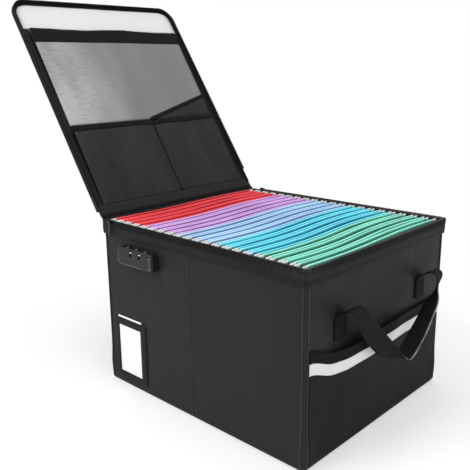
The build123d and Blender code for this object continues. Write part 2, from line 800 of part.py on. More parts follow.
with BuildPart() as lock_housing:
    with BuildSketch(side_view.offset(half_width)):
        with Locations((lock_middle_x, lock_middle_z)):
            RectangleRounded(lock_width, lock_height, lock_corner_radius)
    extrude(amount=lock_depth)
    chamfer(lock_housing.faces().sort_by(Axis.Y)[0].edges(), lock_edge_chamfer)
    # slots that the dials turn in, open at the top
    slot_bottom = dial_axis_z - dial_radius - dial_side_gap
    with BuildSketch(Plane.XY.offset(slot_bottom)):
        with Locations(*[(x, dial_axis_y) for x in dial_places]):
            Rectangle(dial_width + 2 * dial_side_gap, 2 * (dial_radius + dial_side_gap))
    extrude(amount=lock_height, mode=Mode.SUBTRACT)
    # bore for the axle
    with BuildSketch(end_view.offset(axle_low - axle_fit)):
        with Locations((dial_axis_y, dial_axis_z)):
            Circle(axle_radius + axle_fit)
    extrude(amount=axle_high - axle_low + 2 * axle_fit, mode=Mode.SUBTRACT)
    # wedge-shaped slots that the two zip pulls catch in
    with BuildSketch(side_view.offset(-lock_front_y - catch_slot_depth)):
        catch_middle_z = lock_top - catch_slot_below_top - catch_slot_height / 2
        with Locations(*[(x, catch_middle_z) for x in catch_places]):
            Trapezoid(catch_slot_mouth, catch_slot_height, 90 + catch_slot_flare)
    extrude(amount=catch_slot_depth, mode=Mode.SUBTRACT)
    # recess that the release button slides in
    with BuildSketch(side_view.offset(-lock_front_y - button_depth - button_gap)):
        with Locations((recess_middle, lock_middle_z)):
            Rectangle(recess_width, button_height + 2 * button_gap)
    extrude(amount=button_depth + button_gap, mode=Mode.SUBTRACT)
save(lock_housing.part, "lock_housing")

# The dials' axle, and a pin across each slot that holds a zip pull.
pin_level = catch_pin_below_top - catch_slot_below_top + catch_pin_radius
pin_length = catch_slot_mouth - 2 * pin_level * tan(radians(catch_slot_flare))

with BuildPart() as lock_pins:
    with BuildSketch(end_view.offset(axle_low)):
        with Locations((dial_axis_y, dial_axis_z)):
            Circle(axle_radius)
    extrude(amount=axle_high - axle_low)
    for catch_x in catch_places:
        with BuildSketch(end_view.offset(catch_x)):
            with Locations((lock_front_y + catch_pin_back, lock_top - catch_pin_below_top)):
                Circle(catch_pin_radius)
        extrude(amount=pin_length / 2, both=True)
save(lock_pins.part, "lock_pins")

for dial_index, dial_x in enumerate(dial_places):
    with BuildPart() as lock_dial:
        with BuildSketch(end_view.offset(dial_x - dial_width / 2)):
            with Locations((dial_axis_y, dial_axis_z)):
                RegularPolygon(dial_radius, dial_sides)
        extrude(amount=dial_width)
        chamfer(lock_dial.faces().filter_by(Axis.X).edges(), dial_edge_chamfer)
        with BuildSketch(end_view.offset(dial_x - dial_width / 2)):
            with Locations((dial_axis_y, dial_axis_z)):
                Circle(axle_radius + axle_fit)
        extrude(amount=dial_width, mode=Mode.SUBTRACT)
    save(lock_dial.part, f"lock_dial_{dial_index + 1}")

with BuildPart() as lock_button:
    with BuildSketch(side_view.offset(-lock_front_y - button_depth)):
        with Locations((button_x, lock_middle_z)):
            RectangleRounded(button_width, button_height, 1)
    extrude(amount=button_depth + button_proud)
    rib_pitch = button_width / (button_rib_count + 1)
    with BuildSketch(side_view.offset(-lock_front_y + button_proud - button_rib_depth)):
        with GridLocations(rib_pitch, 0, button_rib_count, 1):
            with Locations((button_x, lock_middle_z)):
                Rectangle(rib_pitch / 2, button_height - 2 * button_rib_margin)
    extrude(amount=button_rib_depth, mode=Mode.SUBTRACT)
save(lock_button.part, "lock_button")

inside_y = half_width - wall_thickness

with BuildPart() as lock_back_plate:
    with BuildSketch(side_view.offset(inside_y)):
        with Locations((lock_middle_x, lock_middle_z)):
            Rectangle(lock_width - back_plate_margin, lock_height - back_plate_margin)
        with Locations(*rivet_places):
            Circle(rivet_radius + rivet_hole_clearance, mode=Mode.SUBTRACT)
    extrude(amount=-back_plate_thickness)
save(lock_back_plate.part, "lock_back_plate")

with BuildPart() as lock_rivets:
    with BuildSketch(side_view.offset(half_width)):
        with Locations(*rivet_places):
            Circle(rivet_radius)
    extrude(amount=-(wall_thickness + back_plate_thickness))
    with BuildSketch(side_view.offset(inside_y - back_plate_thickness)):
        with Locations(*rivet_places):
            Circle(rivet_head_radius)
    extrude(amount=-rivet_head_height)
save(lock_rivets.part, "lock_rivets")

# ================= label holder =================

label_right = label_left + label_width
label_top = label_bottom + label_height
window_left = label_left + label_side_left
window_right = label_right - label_side_right
window_low = label_bottom + label_side_bottom
window_high = label_top - label_side_top
window_middle_x = (window_left + window_right) / 2
window_width = window_right - window_left
space_low = window_low - label_pocket_extra
space_width = window_width + 2 * label_pocket_extra
frame_thickness = label_space + label_bezel_thickness

with BuildPart() as label_frame:
    with BuildSketch(side_view.offset(half_width)):
        with Locations((label_left + label_width / 2, label_bottom + label_height / 2)):
            RectangleRounded(label_width, label_height, label_corner_radius)
    extrude(amount=frame_thickness)
    with BuildSketch(side_view.offset(half_width)):
        with Locations((window_middle_x, (space_low + label_top + 1) / 2)):
            Rectangle(space_width, label_top + 1 - space_low)
    extrude(amount=label_space, mode=Mode.SUBTRACT)
    with BuildSketch(side_view.offset(half_width)):
        with Locations((window_middle_x, (window_low + window_high) / 2)):
            Rectangle(window_width, window_high - window_low)
    extrude(amount=frame_thickness, mode=Mode.SUBTRACT)
save(label_frame.part, "label_frame")

with BuildPart() as label_window:
    with BuildSketch(side_view.offset(half_width + label_space - window_thickness)):
        with Locations((window_middle_x, (space_low + label_top) / 2)):
            Rectangle(space_width - 2 * fit, label_top - space_low - 2 * fit)
    extrude(amount=window_thickness)
save(label_window.part, "label_window")

with BuildPart() as label_card:
    card_low = space_low + clear
    card_high = label_top + card_over_frame
    with BuildSketch(side_view.offset(half_width + card_gap)):
        with Locations((window_middle_x, (card_low + card_high) / 2)):
            Rectangle(space_width - 2 * clear, card_high - card_low)
    extrude(amount=card_thickness)
save(label_card.part, "label_card")

# ================= zip sliders and pulls =================

slider_low_x = hinge_x + zip_end - slider_tooth_gap - slider_length
slider_face = half_width + tape_proud + slider_gap
slider_top = band_top + teeth_height + slider_gap + slider_wall
ear_middle = slider_face + slider_wall + ear_reach / 2
pin_y = slider_face + slider_wall + ear_reach
pin_z = slider_top - slider_wall - ear_thickness

with BuildPart() as zip_sliders:
    for side in (-1, 1):
        with BuildSketch(end_view.offset(slider_low_x)):
            with Locations((side * (slider_face + slider_wall / 2), slider_top - slider_drop / 2)):
                Rectangle(slider_wall, slider_drop)
            cap_inner = half_width + band_proud - teeth_inset
            cap_outer = slider_face + slider_wall
            with Locations((side * (cap_inner + cap_outer) / 2, slider_top - slider_wall / 2)):
                Rectangle(cap_outer - cap_inner, slider_wall)
        extrude(amount=slider_length)
        ear_low = slider_low_x + (slider_length - pull_width) / 2 - ear_thickness - fit
        ear_high = slider_low_x + (slider_length + pull_width) / 2 + fit
        for ear_x in (ear_low, ear_high):
            with BuildSketch(end_view.offset(ear_x)):
                with Locations((side * ear_middle, pin_z)):
                    Rectangle(ear_reach, 2 * ear_thickness)
                with Locations((side * pin_y, pin_z)):
                    Circle(ear_thickness)
            extrude(amount=ear_thickness)
        with BuildSketch(end_view.offset(ear_low)):
            with Locations((side * pin_y, pin_z)):
                Circle(pull_pin_radius)
        extrude(amount=ear_high + ear_thickness - ear_low)
save(zip_sliders.part, "zip_sliders")

for side, side_name in ((-1, "front"), (1, "back")):
    with BuildPart() as zip_pull:
        with BuildSketch(end_view.offset(slider_low_x + (slider_length - pull_width) / 2)):
            with Locations((side * pin_y, pin_z - pull_length / 2)):
                Rectangle(pull_thickness, pull_length)
            with Locations((side * pin_y, pin_z)):
                Circle(pull_eye_radius)
                Circle(pull_pin_radius + pull_fit, mode=Mode.SUBTRACT)
        extrude(amount=pull_width)
    save(zip_pull.part, f"zip_pull_{side_name}")

print(len(written), "sub-parts written")
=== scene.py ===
from math import acos, ceil, cos, dist, exp, hypot, pi, radians, sin, sqrt

import bmesh
import bpy
from mathutils import Matrix, Vector, noise


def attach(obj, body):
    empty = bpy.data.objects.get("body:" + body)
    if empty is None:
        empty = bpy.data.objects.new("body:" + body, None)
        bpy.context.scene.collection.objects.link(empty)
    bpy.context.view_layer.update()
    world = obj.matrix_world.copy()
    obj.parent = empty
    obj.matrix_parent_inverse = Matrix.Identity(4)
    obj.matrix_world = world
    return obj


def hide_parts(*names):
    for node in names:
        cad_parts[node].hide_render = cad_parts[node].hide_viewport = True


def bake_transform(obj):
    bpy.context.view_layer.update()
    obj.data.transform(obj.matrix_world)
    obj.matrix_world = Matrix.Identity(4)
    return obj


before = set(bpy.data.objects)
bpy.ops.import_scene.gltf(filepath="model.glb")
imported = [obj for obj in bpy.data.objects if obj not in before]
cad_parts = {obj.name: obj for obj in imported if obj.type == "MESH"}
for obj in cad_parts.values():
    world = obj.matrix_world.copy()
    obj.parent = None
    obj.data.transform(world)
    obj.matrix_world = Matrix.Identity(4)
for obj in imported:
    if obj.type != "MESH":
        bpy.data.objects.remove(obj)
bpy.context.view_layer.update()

MM = 0.001

# ---------------------------------------------------------------- sizes, in mm
HALF_X, HALF_Y, CORNER = 190, 165, 5
WALL_TOP, BAND_LOW, BAND_TOP = 257.6, 238, 258.6
TRAY_TOP, BASE_ROUND = 4.4, 6
LOCK_X, LOCK_LOW = (-150, -60), 190     # the lock's ends and foot, with a margin
CARD_X, CARD_TOP = (-176, -96), 206     # the label holder's ends, and the top of its card's way out
TAB_Y, TAB_FOOT, STRAP_WIDTH = 98, 148, 25.4
POCKET_HALF, POCKET_FOOT, POCKET_TOP = 158.8, 8, 146
ZIP_START = -159.5                      # x of the rim zip's first tooth
LABEL_ROUND, DIAL_X, DIAL_STEP, DIAL_Z = 3, -122.9, 19.4, 224.4
HINGE = Vector((-193, 0, 264))
LID_ANGLE = radians(124)
LID_U = Vector((cos(LID_ANGLE), 0, sin(LID_ANGLE)))
LID_W = Vector((-sin(LID_ANGLE), 0, cos(LID_ANGLE)))
LID_START, LID_END, LID_HALF_Y, LID_CORNER = 7.5, 386, 168, 26
LINING_START, LINING_END, LINING_HALF = 8.6, 384.9, 166.9
NET_HALF, DIVIDER_Y = 152.6, 8
DOC_FOOT, DOC_MOUTH, DOC_HEM = 154, 332, 26
LOW_FOOT, LOW_MOUTH, LOW_HEM = 15, 150, 8
PER_COLOUR, PITCH, MOUTH_HALF, FOOT_HALF, FOLDER_HALF, FOLDER_LOW = 4, 18.26, 7.4, 3.5, 149, 24
FOLD_TOP, LEAF_TOP = 258.7, 250


def lid_point(u, y, w):
    """A point of the lid: u from the hinge, y across, w outward."""
    return HINGE + LID_U * u + Vector((0, y, 0)) + LID_W * w


def smooth(a, b, x):
    t = min(1, max(0, (x - a) / (b - a)))
    return t * t * (3 - 2 * t)


def bell(x, width):
    """1 at the middle of a bump, and about a third at its width."""
    return exp(-((x / width) ** 2))


def ripple(point, scale, seed):
    """Smooth noise from -1 to 1 at a point in mm, with features about scale mm wide."""
    return noise.noise(Vector(point) / scale + Vector((seed * 7.3, seed * 3.1, seed * 5.7)))


# ---------------------------------------------------------------- materials
def wire(tree, kind, *sources, **settings):
    """A shader node whose inputs are linked or set in order. None leaves an input as it is."""
    node = tree.nodes.new("ShaderNode" + kind)
    for key, value in settings.items():
        setattr(node, key, value)
    for source, socket in zip(sources, node.inputs):
        source = getattr(source, "socket", source)
        if isinstance(source, bpy.types.NodeSocket):
            tree.links.new(source, socket)
        elif source is not None:
            socket.default_value = source
    return node


class Value:
    """A number in a paint's shader. Arithmetic on it adds the nodes for it."""

    def __init__(self, paint, socket):
        self.paint, self.socket = paint, socket

    def __add__(self, other):
        return self.paint.math("ADD", self, other)

    def __sub__(self, other):
        return self.paint.math("SUBTRACT", self, other)

    def __mul__(self, other):
        return self.paint.math("MULTIPLY", self, other)

    def wave(self, pitch):
        """A sine from 0 to 1 that repeats every pitch metres."""
        return self.paint.math("SINE", self * (2 * pi / pitch)) * 0.5 + 0.5

    def ramp(self, low, high, start=0, end=1):
        """A value that goes from low to high as this one goes from start to end."""
        return Value(self.paint, wire(self.paint.tree, "MapRange", self, start, end, low, high).outputs[0])


class Paint:
    """A procedural material on one Principled shader, and the slot of the pieces that wear it."""

    def __init__(self, name, colour, rough, gloss=0.5, metal=0, alpha=1, slot=None):
        self.mat = bpy.data.materials.new(name)
        self.mat.use_nodes = True
        self.tree = self.mat.node_tree
        self.shader = self.tree.nodes["Principled BSDF"]
        for key, value in (("Base Color", (*colour, 1)), ("Roughness", rough), ("Metallic", metal),
                           ("Specular IOR Level", gloss), ("Alpha", alpha)):
            self.shader.inputs[key].default_value = value
        self.colour, self.rough, self.slot = colour, rough, slot

    def set(self, key, source):
        self.tree.links.new(getattr(source, "socket", source), self.shader.inputs[key])

    def math(self, operation, *numbers):
        return Value(self, wire(self.tree, "Math", *numbers, operation=operation).outputs[0])

    def parts(self, vector):
        return [Value(self, socket) for socket in wire(self.tree, "SeparateXYZ", vector).outputs]

    def cloth(self):
        return wire(self.tree, "UVMap", uv_map="cloth").outputs[0]

    def object(self):
        return wire(self.tree, "TexCoord").outputs["Object"]

    def uv(self):
        return self.parts(self.cloth())[:2]

    def place(self):
        return self.parts(self.object())

    def stretched(self, vector, scale, angle=0):
        """Coordinates turned by an angle and stretched, for streaks."""
        return wire(self.tree, "Mapping", vector, None, (0, 0, angle), scale).outputs[0]

    def noise(self, scale, detail=3, rough=0.55, vector=None):
        vector = vector or self.object()
        return Value(self, wire(self.tree, "TexNoise", vector, None, scale, detail, rough).outputs[0])

    def mix(self, factor, a, b):
        return wire(self.tree, "Mix", factor, *[None] * 5, a, b, data_type="RGBA").outputs[2]

    def shade(self, factor, dark, light, deepen=1):
        """Base colour between dark and light times the paint's colour. deepen makes the dark one richer."""
        low = (*[c ** deepen * dark for c in self.colour], 1)
        high = (*[min(1, c * light) for c in self.colour], 1)
        self.set("Base Color", self.mix(factor, low, high))

    def overlay(self, factor, colour):
        """Lays another colour over the paint."""
        under = self.shader.inputs["Base Color"].links[0].from_socket
        self.set("Base Color", self.mix(factor, under, (*colour, 1)))

    def surface(self, factor, spread, height, depth):
        """Roughness that follows a factor, and relief."""
        low, high = max(0.05, self.rough - spread), min(1, self.rough + spread)
        self.set("Roughness", factor.ramp(low, high))
        relief = wire(self.tree, "Bump")
        relief.inputs["Distance"].default_value = depth
        self.tree.links.new(height.socket, relief.inputs["Height"])
        self.set("Normal", relief.outputs[0])
        return self


def woven(paint, height, depth, dark, light):
    """What every cloth shares: colour from its relief and a soft mottling, uneven roughness, relief."""
    cloud, fine = paint.noise(28, 4, 0.6), paint.noise(900, 2, 0.6)
    paint.shade(cloud * 0.35 + height * 0.65 + (fine - 0.5) * 0.35, dark, light)
    return paint.surface(fine, 0.1, fine * 0.4 + height, depth)


def weave(paint, pitch, depth, dark=0.75, light=1.2):
    """Plain weave on the cloth's own UVs."""
    u, v = paint.uv()
    checker = (u.wave(pitch * 2) - 0.5) * (v.wave(pitch * 2) - 0.5) + 0.25
    return woven(paint, checker * 2, depth, dark, light)


def twill(paint, pitch, depth, dark=0.7, light=1.25):
    """Diagonal twill lines on the cloth's own UVs."""
    u, v = paint.uv()
    return woven(paint, v.wave(pitch * 0.5) * 0.3 + (v + u).wave(pitch) * 0.7, depth, dark, light)


def ribbed(paint, pitch, depth):
    """Cross ribs, as on grosgrain binding or zip tape."""
    u, v = paint.uv()
    return woven(paint, u.wave(pitch * 0.6) * 0.35 + v.wave(pitch) * 0.65, depth, 0.75, 1.2)


def edge_highlight(paint, half_width, start, end):
    """Paints a highlight along one edge of a strap, between two distances along it."""
    u, v = paint.uv()
    edge = u.ramp(0, 1, half_width - 0.0022, half_width - 0.0006)
    share = v.ramp(0, 1, start, start + 0.02) * v.ramp(1, 0, end - 0.03, end)
    paint.overlay(edge * share * paint.noise(60).ramp(0.35, 1, 0.35, 0.6), (0.3, 0.3, 0.31))
    return paint


def gather_highlights(paint):
    """Paints highlights on the crests of the rim's gathers towards the front corner of the pocket end."""
    x, y, z = paint.place()
    front = x.ramp(0, 1, 0.07, 0.15) * y.ramp(1, 0, -0.15, -0.14)
    end = y.ramp(1, 0, -0.16, -0.118) * x.ramp(0, 1, 0.18, 0.185)
    crests = (z * 0.7 + (x + y)).wave(0.0043).ramp(0, 1, 0.5, 1)
    where = paint.math("MAXIMUM", front, end) * z.ramp(0, 1, 0.245, 0.252)
    paint.overlay(crests * where, (0.052, 0.052, 0.056))
    return paint


def net(paint, pitch, depth, hole, streak, sheen=(1, 1)):
    """A knitted net: crossing diagonal threads with holes between them, and a painted silky streaked sheen in
    its base colour that changes from the front edge of the lid to the back one."""
    u, v = paint.uv()
    strands = paint.math("MAXIMUM", (v + u).wave(pitch), (v - u).wave(pitch))
    paint.set("Alpha", paint.math("GREATER_THAN", strands, hole))
    streaks = paint.noise(1, 3, 0.6, paint.stretched(paint.cloth(), (60, 420, 1), -0.8))
    broad = paint.noise(1, 2, 0.5, paint.stretched(paint.cloth(), (15, 5, 1), 0.25))
    soft = (streaks * streak + broad * (1 - streak)).ramp(0.15, 1.05, 0.36, 0.64)
    # Painted sheen: the streaks and the fade across the lid lighten and darken the base colour.
    paint.shade(strands * 0.2 + soft * u.ramp(*sheen, -0.13, 0), 0.35, 1.2)
    return paint.surface(streaks, 0.1, strands, depth)


def backed(paint):
    """The lid's lining: twill, light behind the document pocket and dark at the margins and low down."""
    u, v = paint.uv()
    lines = (u + v).wave(0.0016)
    light = paint.math("ABSOLUTE", u).ramp(1, 0, 0.1500, 0.1520) * v.ramp(0, 1, 0.1560, 0.1580)
    paint.shade(light * (lines * 0.2 + 0.8), 0.03, 1)
    return paint.surface(paint.noise(900, 2, 0.6), 0.1, lines, 0.00008)


def grain(paint, scale, depth, dark=0.85, light=1.12):
    """Moulded plastic or painted metal: fine grain, slight colour change and rubbed roughness."""
    fine, broad = paint.noise(scale, 2, 0.6), paint.noise(scale / 25, 4, 0.6)
    paint.shade(broad * 0.6 + fine * 0.4, dark, light)
    return paint.surface(broad, 0.08, fine, depth)


def painted_shade_below(paint, low, high):
    """The folders' bars: light plastic along the top, and painted shade below it down to the rail."""
    fine = paint.noise(900, 2, 0.6)
    paint.shade(paint.place()[2].ramp(0, 1, low, high) * fine.ramp(0.85, 1), 0.03, 1)
    return paint.surface(fine, 0.08, fine, 0.00003)


def card_stock(paint, folded=False):
    """Coloured card: paper fibres and faint mottling. A folder's has long handling marks, a painted highlight
    along its top folds, and painted shade below them that eases off again further down."""
    fibres, cloud = paint.noise(700, 4, 0.7), paint.noise(14, 4, 0.6)
    tone = cloud * 0.6 + fibres * 0.4
    if folded:
        z = paint.place()[2]
        marks = paint.noise(1, 2, 0.5, paint.stretched(paint.object(), (70, 3, 0)))
        tone = marks * 1.5 + (tone - 0.78)
        # Painted shade below the top folds, easing off again further down, and a painted highlight along
        # their tops.
        for ramp in ((-0.75, 0.1, 0.2540, 0.2576), (0.55, 0, 0.2495, 0.2525), (0, 0.45, 0.2577, 0.2587)):
            tone = tone + z.ramp(*ramp)
        paint.shade(tone, 0.5, 1.55, 1.25)
    else:
        paint.shade(tone, 0.8, 1.2)
    return paint.surface(cloud, 0.09, fibres, 0.00005)


def fabric(name, colour, rough, gloss=0.08, slot="black_fabric"):
    return Paint(name, colour, rough, gloss, slot=slot)


CLOTH = weave(fabric("coated_canvas", (0.0155, 0.0166, 0.0162), 0.5, 0.1), 0.00055, 0.00006)
# The rim's band and the zip tape carry painted highlights on the gathers' crests.
BAND = gather_highlights(weave(fabric("rim_cloth", (0.0092, 0.0094, 0.0100), 0.52, 0.11), 0.0006, 0.0001))
BASE = weave(fabric("base_cloth", (0.0125, 0.0132, 0.0132), 0.7), 0.0006, 0.0001)
HEM = weave(fabric("hem_cloth", (0.0055, 0.0058, 0.0066), 0.62, 0.06), 0.0006, 0.00008)
LABEL_VINYL = weave(fabric("label_vinyl", (0.0105, 0.0107, 0.0115), 0.5, 0.1), 0.0007, 0.00008)
LINING = weave(Paint("lining_cloth", (0.006, 0.006, 0.007), 0.65, 0.08), 0.0005, 0.00006)
LID_LINING = backed(fabric("lid_lining_cloth", (0.13, 0.13, 0.134), 0.5, 0.12, "lining_fabric"))
PANEL = weave(fabric("light_lining", (0.64, 0.64, 0.635), 0.55, 0.3, "light_panel"), 0.0006, 0.00006,
              0.93, 1.05)
# The document net's painted sheen is light at the lid's front edge and dark from the middle back.
NET = net(fabric("pocket_net", (0.36, 0.36, 0.368), 0.45, 0.18, "black_mesh"), 0.0022, 0.0001, 0.3, 0.35,
          (0.95, 0.12))
NET_DARK = net(fabric("dense_net", (0.02, 0.02, 0.022), 0.5, 0.1, "black_mesh"), 0.002, 0.0001, 0.14, 0.4)
SIDE_NET = twill(fabric("side_net", (0.0088, 0.0088, 0.01), 0.62, slot="black_mesh"), 0.0036, 0.0004,
                 0.1, 2.1)
BINDING = ribbed(fabric("grosgrain", (0.0035, 0.0035, 0.004), 0.55, slot="black_webbing"), 0.0011, 0.00015)
ZIP_TAPE = gather_highlights(ribbed(fabric("zip_tape", (0.0065, 0.0065, 0.0072), 0.6, slot="black_webbing"),
                           0.0009, 0.00012))
# The webbing has a painted highlight along one edge, from near its lowest point up its back leg.
WEBBING = edge_highlight(twill(fabric("webbing", (0.0062, 0.0062, 0.0068), 0.7, 0.1, "black_webbing"), 0.0016, 0.00022),
               STRAP_WIDTH / 2 * MM, 0.125, 0.265)
PIPING = grain(fabric("piping_vinyl", (0.014, 0.014, 0.015), 0.34, 0.36), 1500, 0.00002)
TAPE = grain(Paint("reflective_tape", (0.6, 0.6, 0.61), 0.35, slot="reflective_tape"), 2600, 0.00004,
             0.9, 1.1)
PLASTIC = grain(Paint("lock_plastic", (0.0088, 0.0092, 0.0091), 0.38, 0.22), 2200, 0.00003)
BUTTON = grain(Paint("button_plastic", (0.03, 0.031, 0.031), 0.24, 0.6), 2200, 0.00002)
DIAL = grain(Paint("dial_plastic", (0.008, 0.008, 0.008), 0.34), 2200, 0.00003)
RAIL = grain(Paint("rail_plastic", (0.005, 0.005, 0.006), 0.5, 0.12), 1500, 0.00003)
TEETH = grain(Paint("zip_nylon", (0.006, 0.006, 0.007), 0.4, 0.15, slot="zip_plastic"), 2500, 0.00002)
HOOK = painted_shade_below(Paint("hook_plastic", (0.98, 0.98, 0.965), 0.35, slot="hook_plastic"), 0.2549, 0.2561)
STEEL = grain(Paint("bright_steel", (0.72, 0.72, 0.72), 0.22, metal=1), 1800, 0.00001)
DARK_METAL = grain(Paint("slider_metal", (0.05, 0.05, 0.054), 0.34, metal=1), 1800, 0.00002)
FILM = grain(Paint("clear_film", (0.9, 0.92, 0.93), 0.12, alpha=0.14), 300, 0.00002)
WHITE_CARD = card_stock(Paint("label_paper", (0.9, 0.9, 0.9), 0.7))
BOARD = card_stock(Paint("greyboard", (0.25, 0.23, 0.2), 0.8))
THREAD = grain(Paint("black_thread", (0.003, 0.003, 0.003), 0.5, 0.1), 4000, 0.00003)
GREY_THREAD = grain(Paint("grey_thread", (0.3, 0.3, 0.3), 0.5, 0.3), 4000, 0.00003)
INK = grain(Paint("dial_number", (0.16, 0.16, 0.155), 0.5, slot="lock_plastic"), 2000, 0.00001)
CARDS = {word: card_stock(Paint(f"{word}_card_stock", colour, 0.5, 0.35, slot=f"{word}_card"), True)
         for word, colour in (("red", (0.55, 0.032, 0.042)), ("purple", (0.46, 0.27, 0.56)),
                              ("blue", (0.29, 0.46, 0.80)), ("cyan", (0.10, 0.53, 0.70)),
                              ("green", (0.18, 0.55, 0.43)))}


# ---------------------------------------------------------------- building pieces
def piece(name, points, faces, paint, body, uvs=None, replaces="", smooth_faces=True):
    """A mesh piece from points in mm, riding on a body. uvs are in mm of cloth, one per point."""
    mesh = bpy.data.meshes.new(name)
    mesh.from_pydata([Vector(p) * MM for p in points], [], faces)
    if uvs is not None:
        layer = mesh.uv_layers.new(name="cloth")
        for loop in mesh.loops:
            layer.data[loop.index].uv = Vector(uvs[loop.vertex_index]) * MM
    mesh.materials.append(paint.mat)
    mesh.validate()
    mesh.update()
    build = bmesh.new()
    build.from_mesh(mesh)
    bmesh.ops.recalc_face_normals(build, faces=build.faces)
    build.to_mesh(mesh)
    build.free()
    if smooth_faces:
        mesh.shade_smooth()
    obj = bpy.data.objects.new(name, mesh)
    bpy.context.collection.objects.link(obj)
    if body:
        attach(obj, body)
    if replaces:
        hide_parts(*replaces.split())
    return obj


def shares(n, low=0):
    """Even places from low to 1, with n steps between them."""
    return [low + (1 - low) * i / n for i in range(n + 1)]


def grid(spot, along, across):
    """Rows for a slab, where spot(a, b) gives (outer point, inner point, uv)."""
    across = list(across)
    return [[spot(a, b) for b in across] for a in along]


def two_sided(rows, points, faces, uvs, closed=False, cap=False):
    """Adds a cloth with two faces and an edge, from rows of (outer point, inner point, uv). closed joins the
    end of each row to its start, and cap then fills the first row."""
    m, n, base = len(rows), len(rows[0]), len(points)
    points += [place[side] for side in (0, 1) for row in rows for place in row]
    uvs += [place[2] for row in rows for place in row] * 2

    def at(side, i, j):
        return base + (side * m + i) * n + j % n

    span = n if closed else n - 1
    for i in range(m - 1):
        for j in range(span):
            faces += [(at(k, i, j), at(k, i, j + 1), at(k, i + 1, j + 1), at(k, i + 1, j)) for k in (0, 1)]
    if cap:
        faces += [tuple(at(k, 0, j) for j in range(n)) for k in (0, 1)]
    edges = [((i, j), (i, j + 1)) for i in ((m - 1,) if cap else (0, m - 1)) for j in range(span)]
    edges += [((i, j), (i + 1, j)) for j in (() if closed else (0, n - 1)) for i in range(m - 1)]
    faces += [(at(0, *p), at(0, *q), at(1, *q), at(1, *p)) for p, q in edges]


def slab(name, rows, paint, body, closed=False, cap=False, **kw):
    """A piece of cloth from rows of (outer point, inner point, uv)."""
    points, faces, uvs = [], [], []
    two_sided(rows, points, faces, uvs, closed, cap)
    return piece(name, points, faces, paint, body, uvs, **kw)


def loft(sections, points, faces):
    """Adds a closed form through sections that have the same number of points."""
    base, n = len(points), len(sections[0])
    points += [p for section in sections for p in section]
    for k in range(len(sections) - 1):
        for m in range(n):
            a, b = base + k * n + m, base + k * n + (m + 1) % n
            faces.append((a, b, b + n, a + n))
    faces += [tuple(range(base + n - 1, base - 1, -1)), tuple(range(len(points) - n, len(points)))]


def lengths(path):
    """The distance travelled at each point of a path, of Vectors or of tuples that start with two places."""
    run, n = [0], 3 if len(path[0]) == 3 else 2
    for a, b in zip(path, path[1:]):
        run.append(run[-1] + dist(a[:n], b[:n]))
    return run


def neighbours(path):
    """The points before and after each point of a path, where an end stands in for the one it lacks."""
    return zip(path[:1] + path, path[1:] + path[-1:])


def ring(inset, step):
    """Points round the box's plan at an inset, anticlockwise from the middle of +X, as
    (x, y, outward x, outward y, distance round the outer face)."""
    hx, hy, r = HALF_X - inset, HALF_Y - inset, max(CORNER - inset, 0.6)
    long_x, long_y = 2 * (HALF_X - CORNER), 2 * (HALF_Y - CORNER)
    runs = [((hx, 0), (hx, hy - r), long_y / 2), ((hx - r, hy), (r - hx, hy), long_x),
            ((-hx, hy - r), (-hx, r - hy), long_y), ((r - hx, -hy), (hx - r, -hy), long_x),
            ((hx, r - hy), (hx, 0), long_y / 2)]
    path, travelled, quarter = [], 0, CORNER * pi / 2
    for k, ((x0, y0), (x1, y1), length) in enumerate(runs):
        turn = k * pi / 2
        for t in shares(max(2, round(length / step))):
            x, y = x0 + (x1 - x0) * t, y0 + (y1 - y0) * t
            path.append((x, y, cos(turn), sin(turn), travelled + length * t))
        travelled += length
        cx, cy = (hx - r) * (1 if k in (0, 3) else -1), (hy - r) * (1 if k < 2 else -1)
        for a, t in ((turn + pi / 2 * t, t) for t in shares(8)[1:-1] if k < 4):
            path.append((cx + r * cos(a), cy + r * sin(a), cos(a), sin(a), travelled + quarter * t))
        travelled += quarter
    return path[:-1]


def refine(path, near, step):
    """More points on the path where near(point) holds."""
    out = []
    for a, b in zip(path, path[1:]):
        out.append(a)
        length = dist(a[:2], b[:2])
        if (near(a) or near(b)) and length > step:
            n = ceil(length / step)
            for i in range(1, n):
                x, y, nx, ny, s = [u + (v - u) * i / n for u, v in zip(a, b)]
                m = hypot(nx, ny)
                out.append((x, y, nx / m, ny / m, s))
    return out + path[-1:]


def stitches(name, path, outward, body="box", pitch=3.4, length=2.2, width=0.5, height=0.35, paint=THREAD):
    """Short raised stitches along a path of points in mm. outward is one direction, or a list of them."""
    path = [Vector(p) for p in path]
    normals = [Vector(n) for n in (outward if isinstance(outward, list) else [outward] * len(path))]
    run = lengths(path)

    def sample(s):
        k = 0
        while k < len(path) - 2 and run[k + 1] < s:
            k += 1
        t = min(1, max(0, (s - run[k]) / max(1e-6, run[k + 1] - run[k])))
        return path[k].lerp(path[k + 1], t), normals[k].lerp(normals[k + 1], t).normalized()

    points, faces = [], []
    for i in range(int(run[-1] / pitch)):
        sections = []
        for t, thick in ((0, 0.25), (0.2, 0.9), (0.5, 1), (0.8, 0.9), (1, 0.25)):
            s = (i + 0.5) * pitch + length * (t - 0.5)
            centre, up = sample(s)
            side = (sample(s + 0.3)[0] - sample(s - 0.3)[0]).normalized().cross(up).normalized()
            wide, high = width / 2 * thick, height / 2 * thick
            sections.append([centre + side * (cos(a) * wide) + up * ((sin(a) + 1) * high - 0.08)
                             for a in (pi * m / 3 for m in range(6))])
        loft(sections, points, faces)
    return piece(name, points, faces, paint, body)


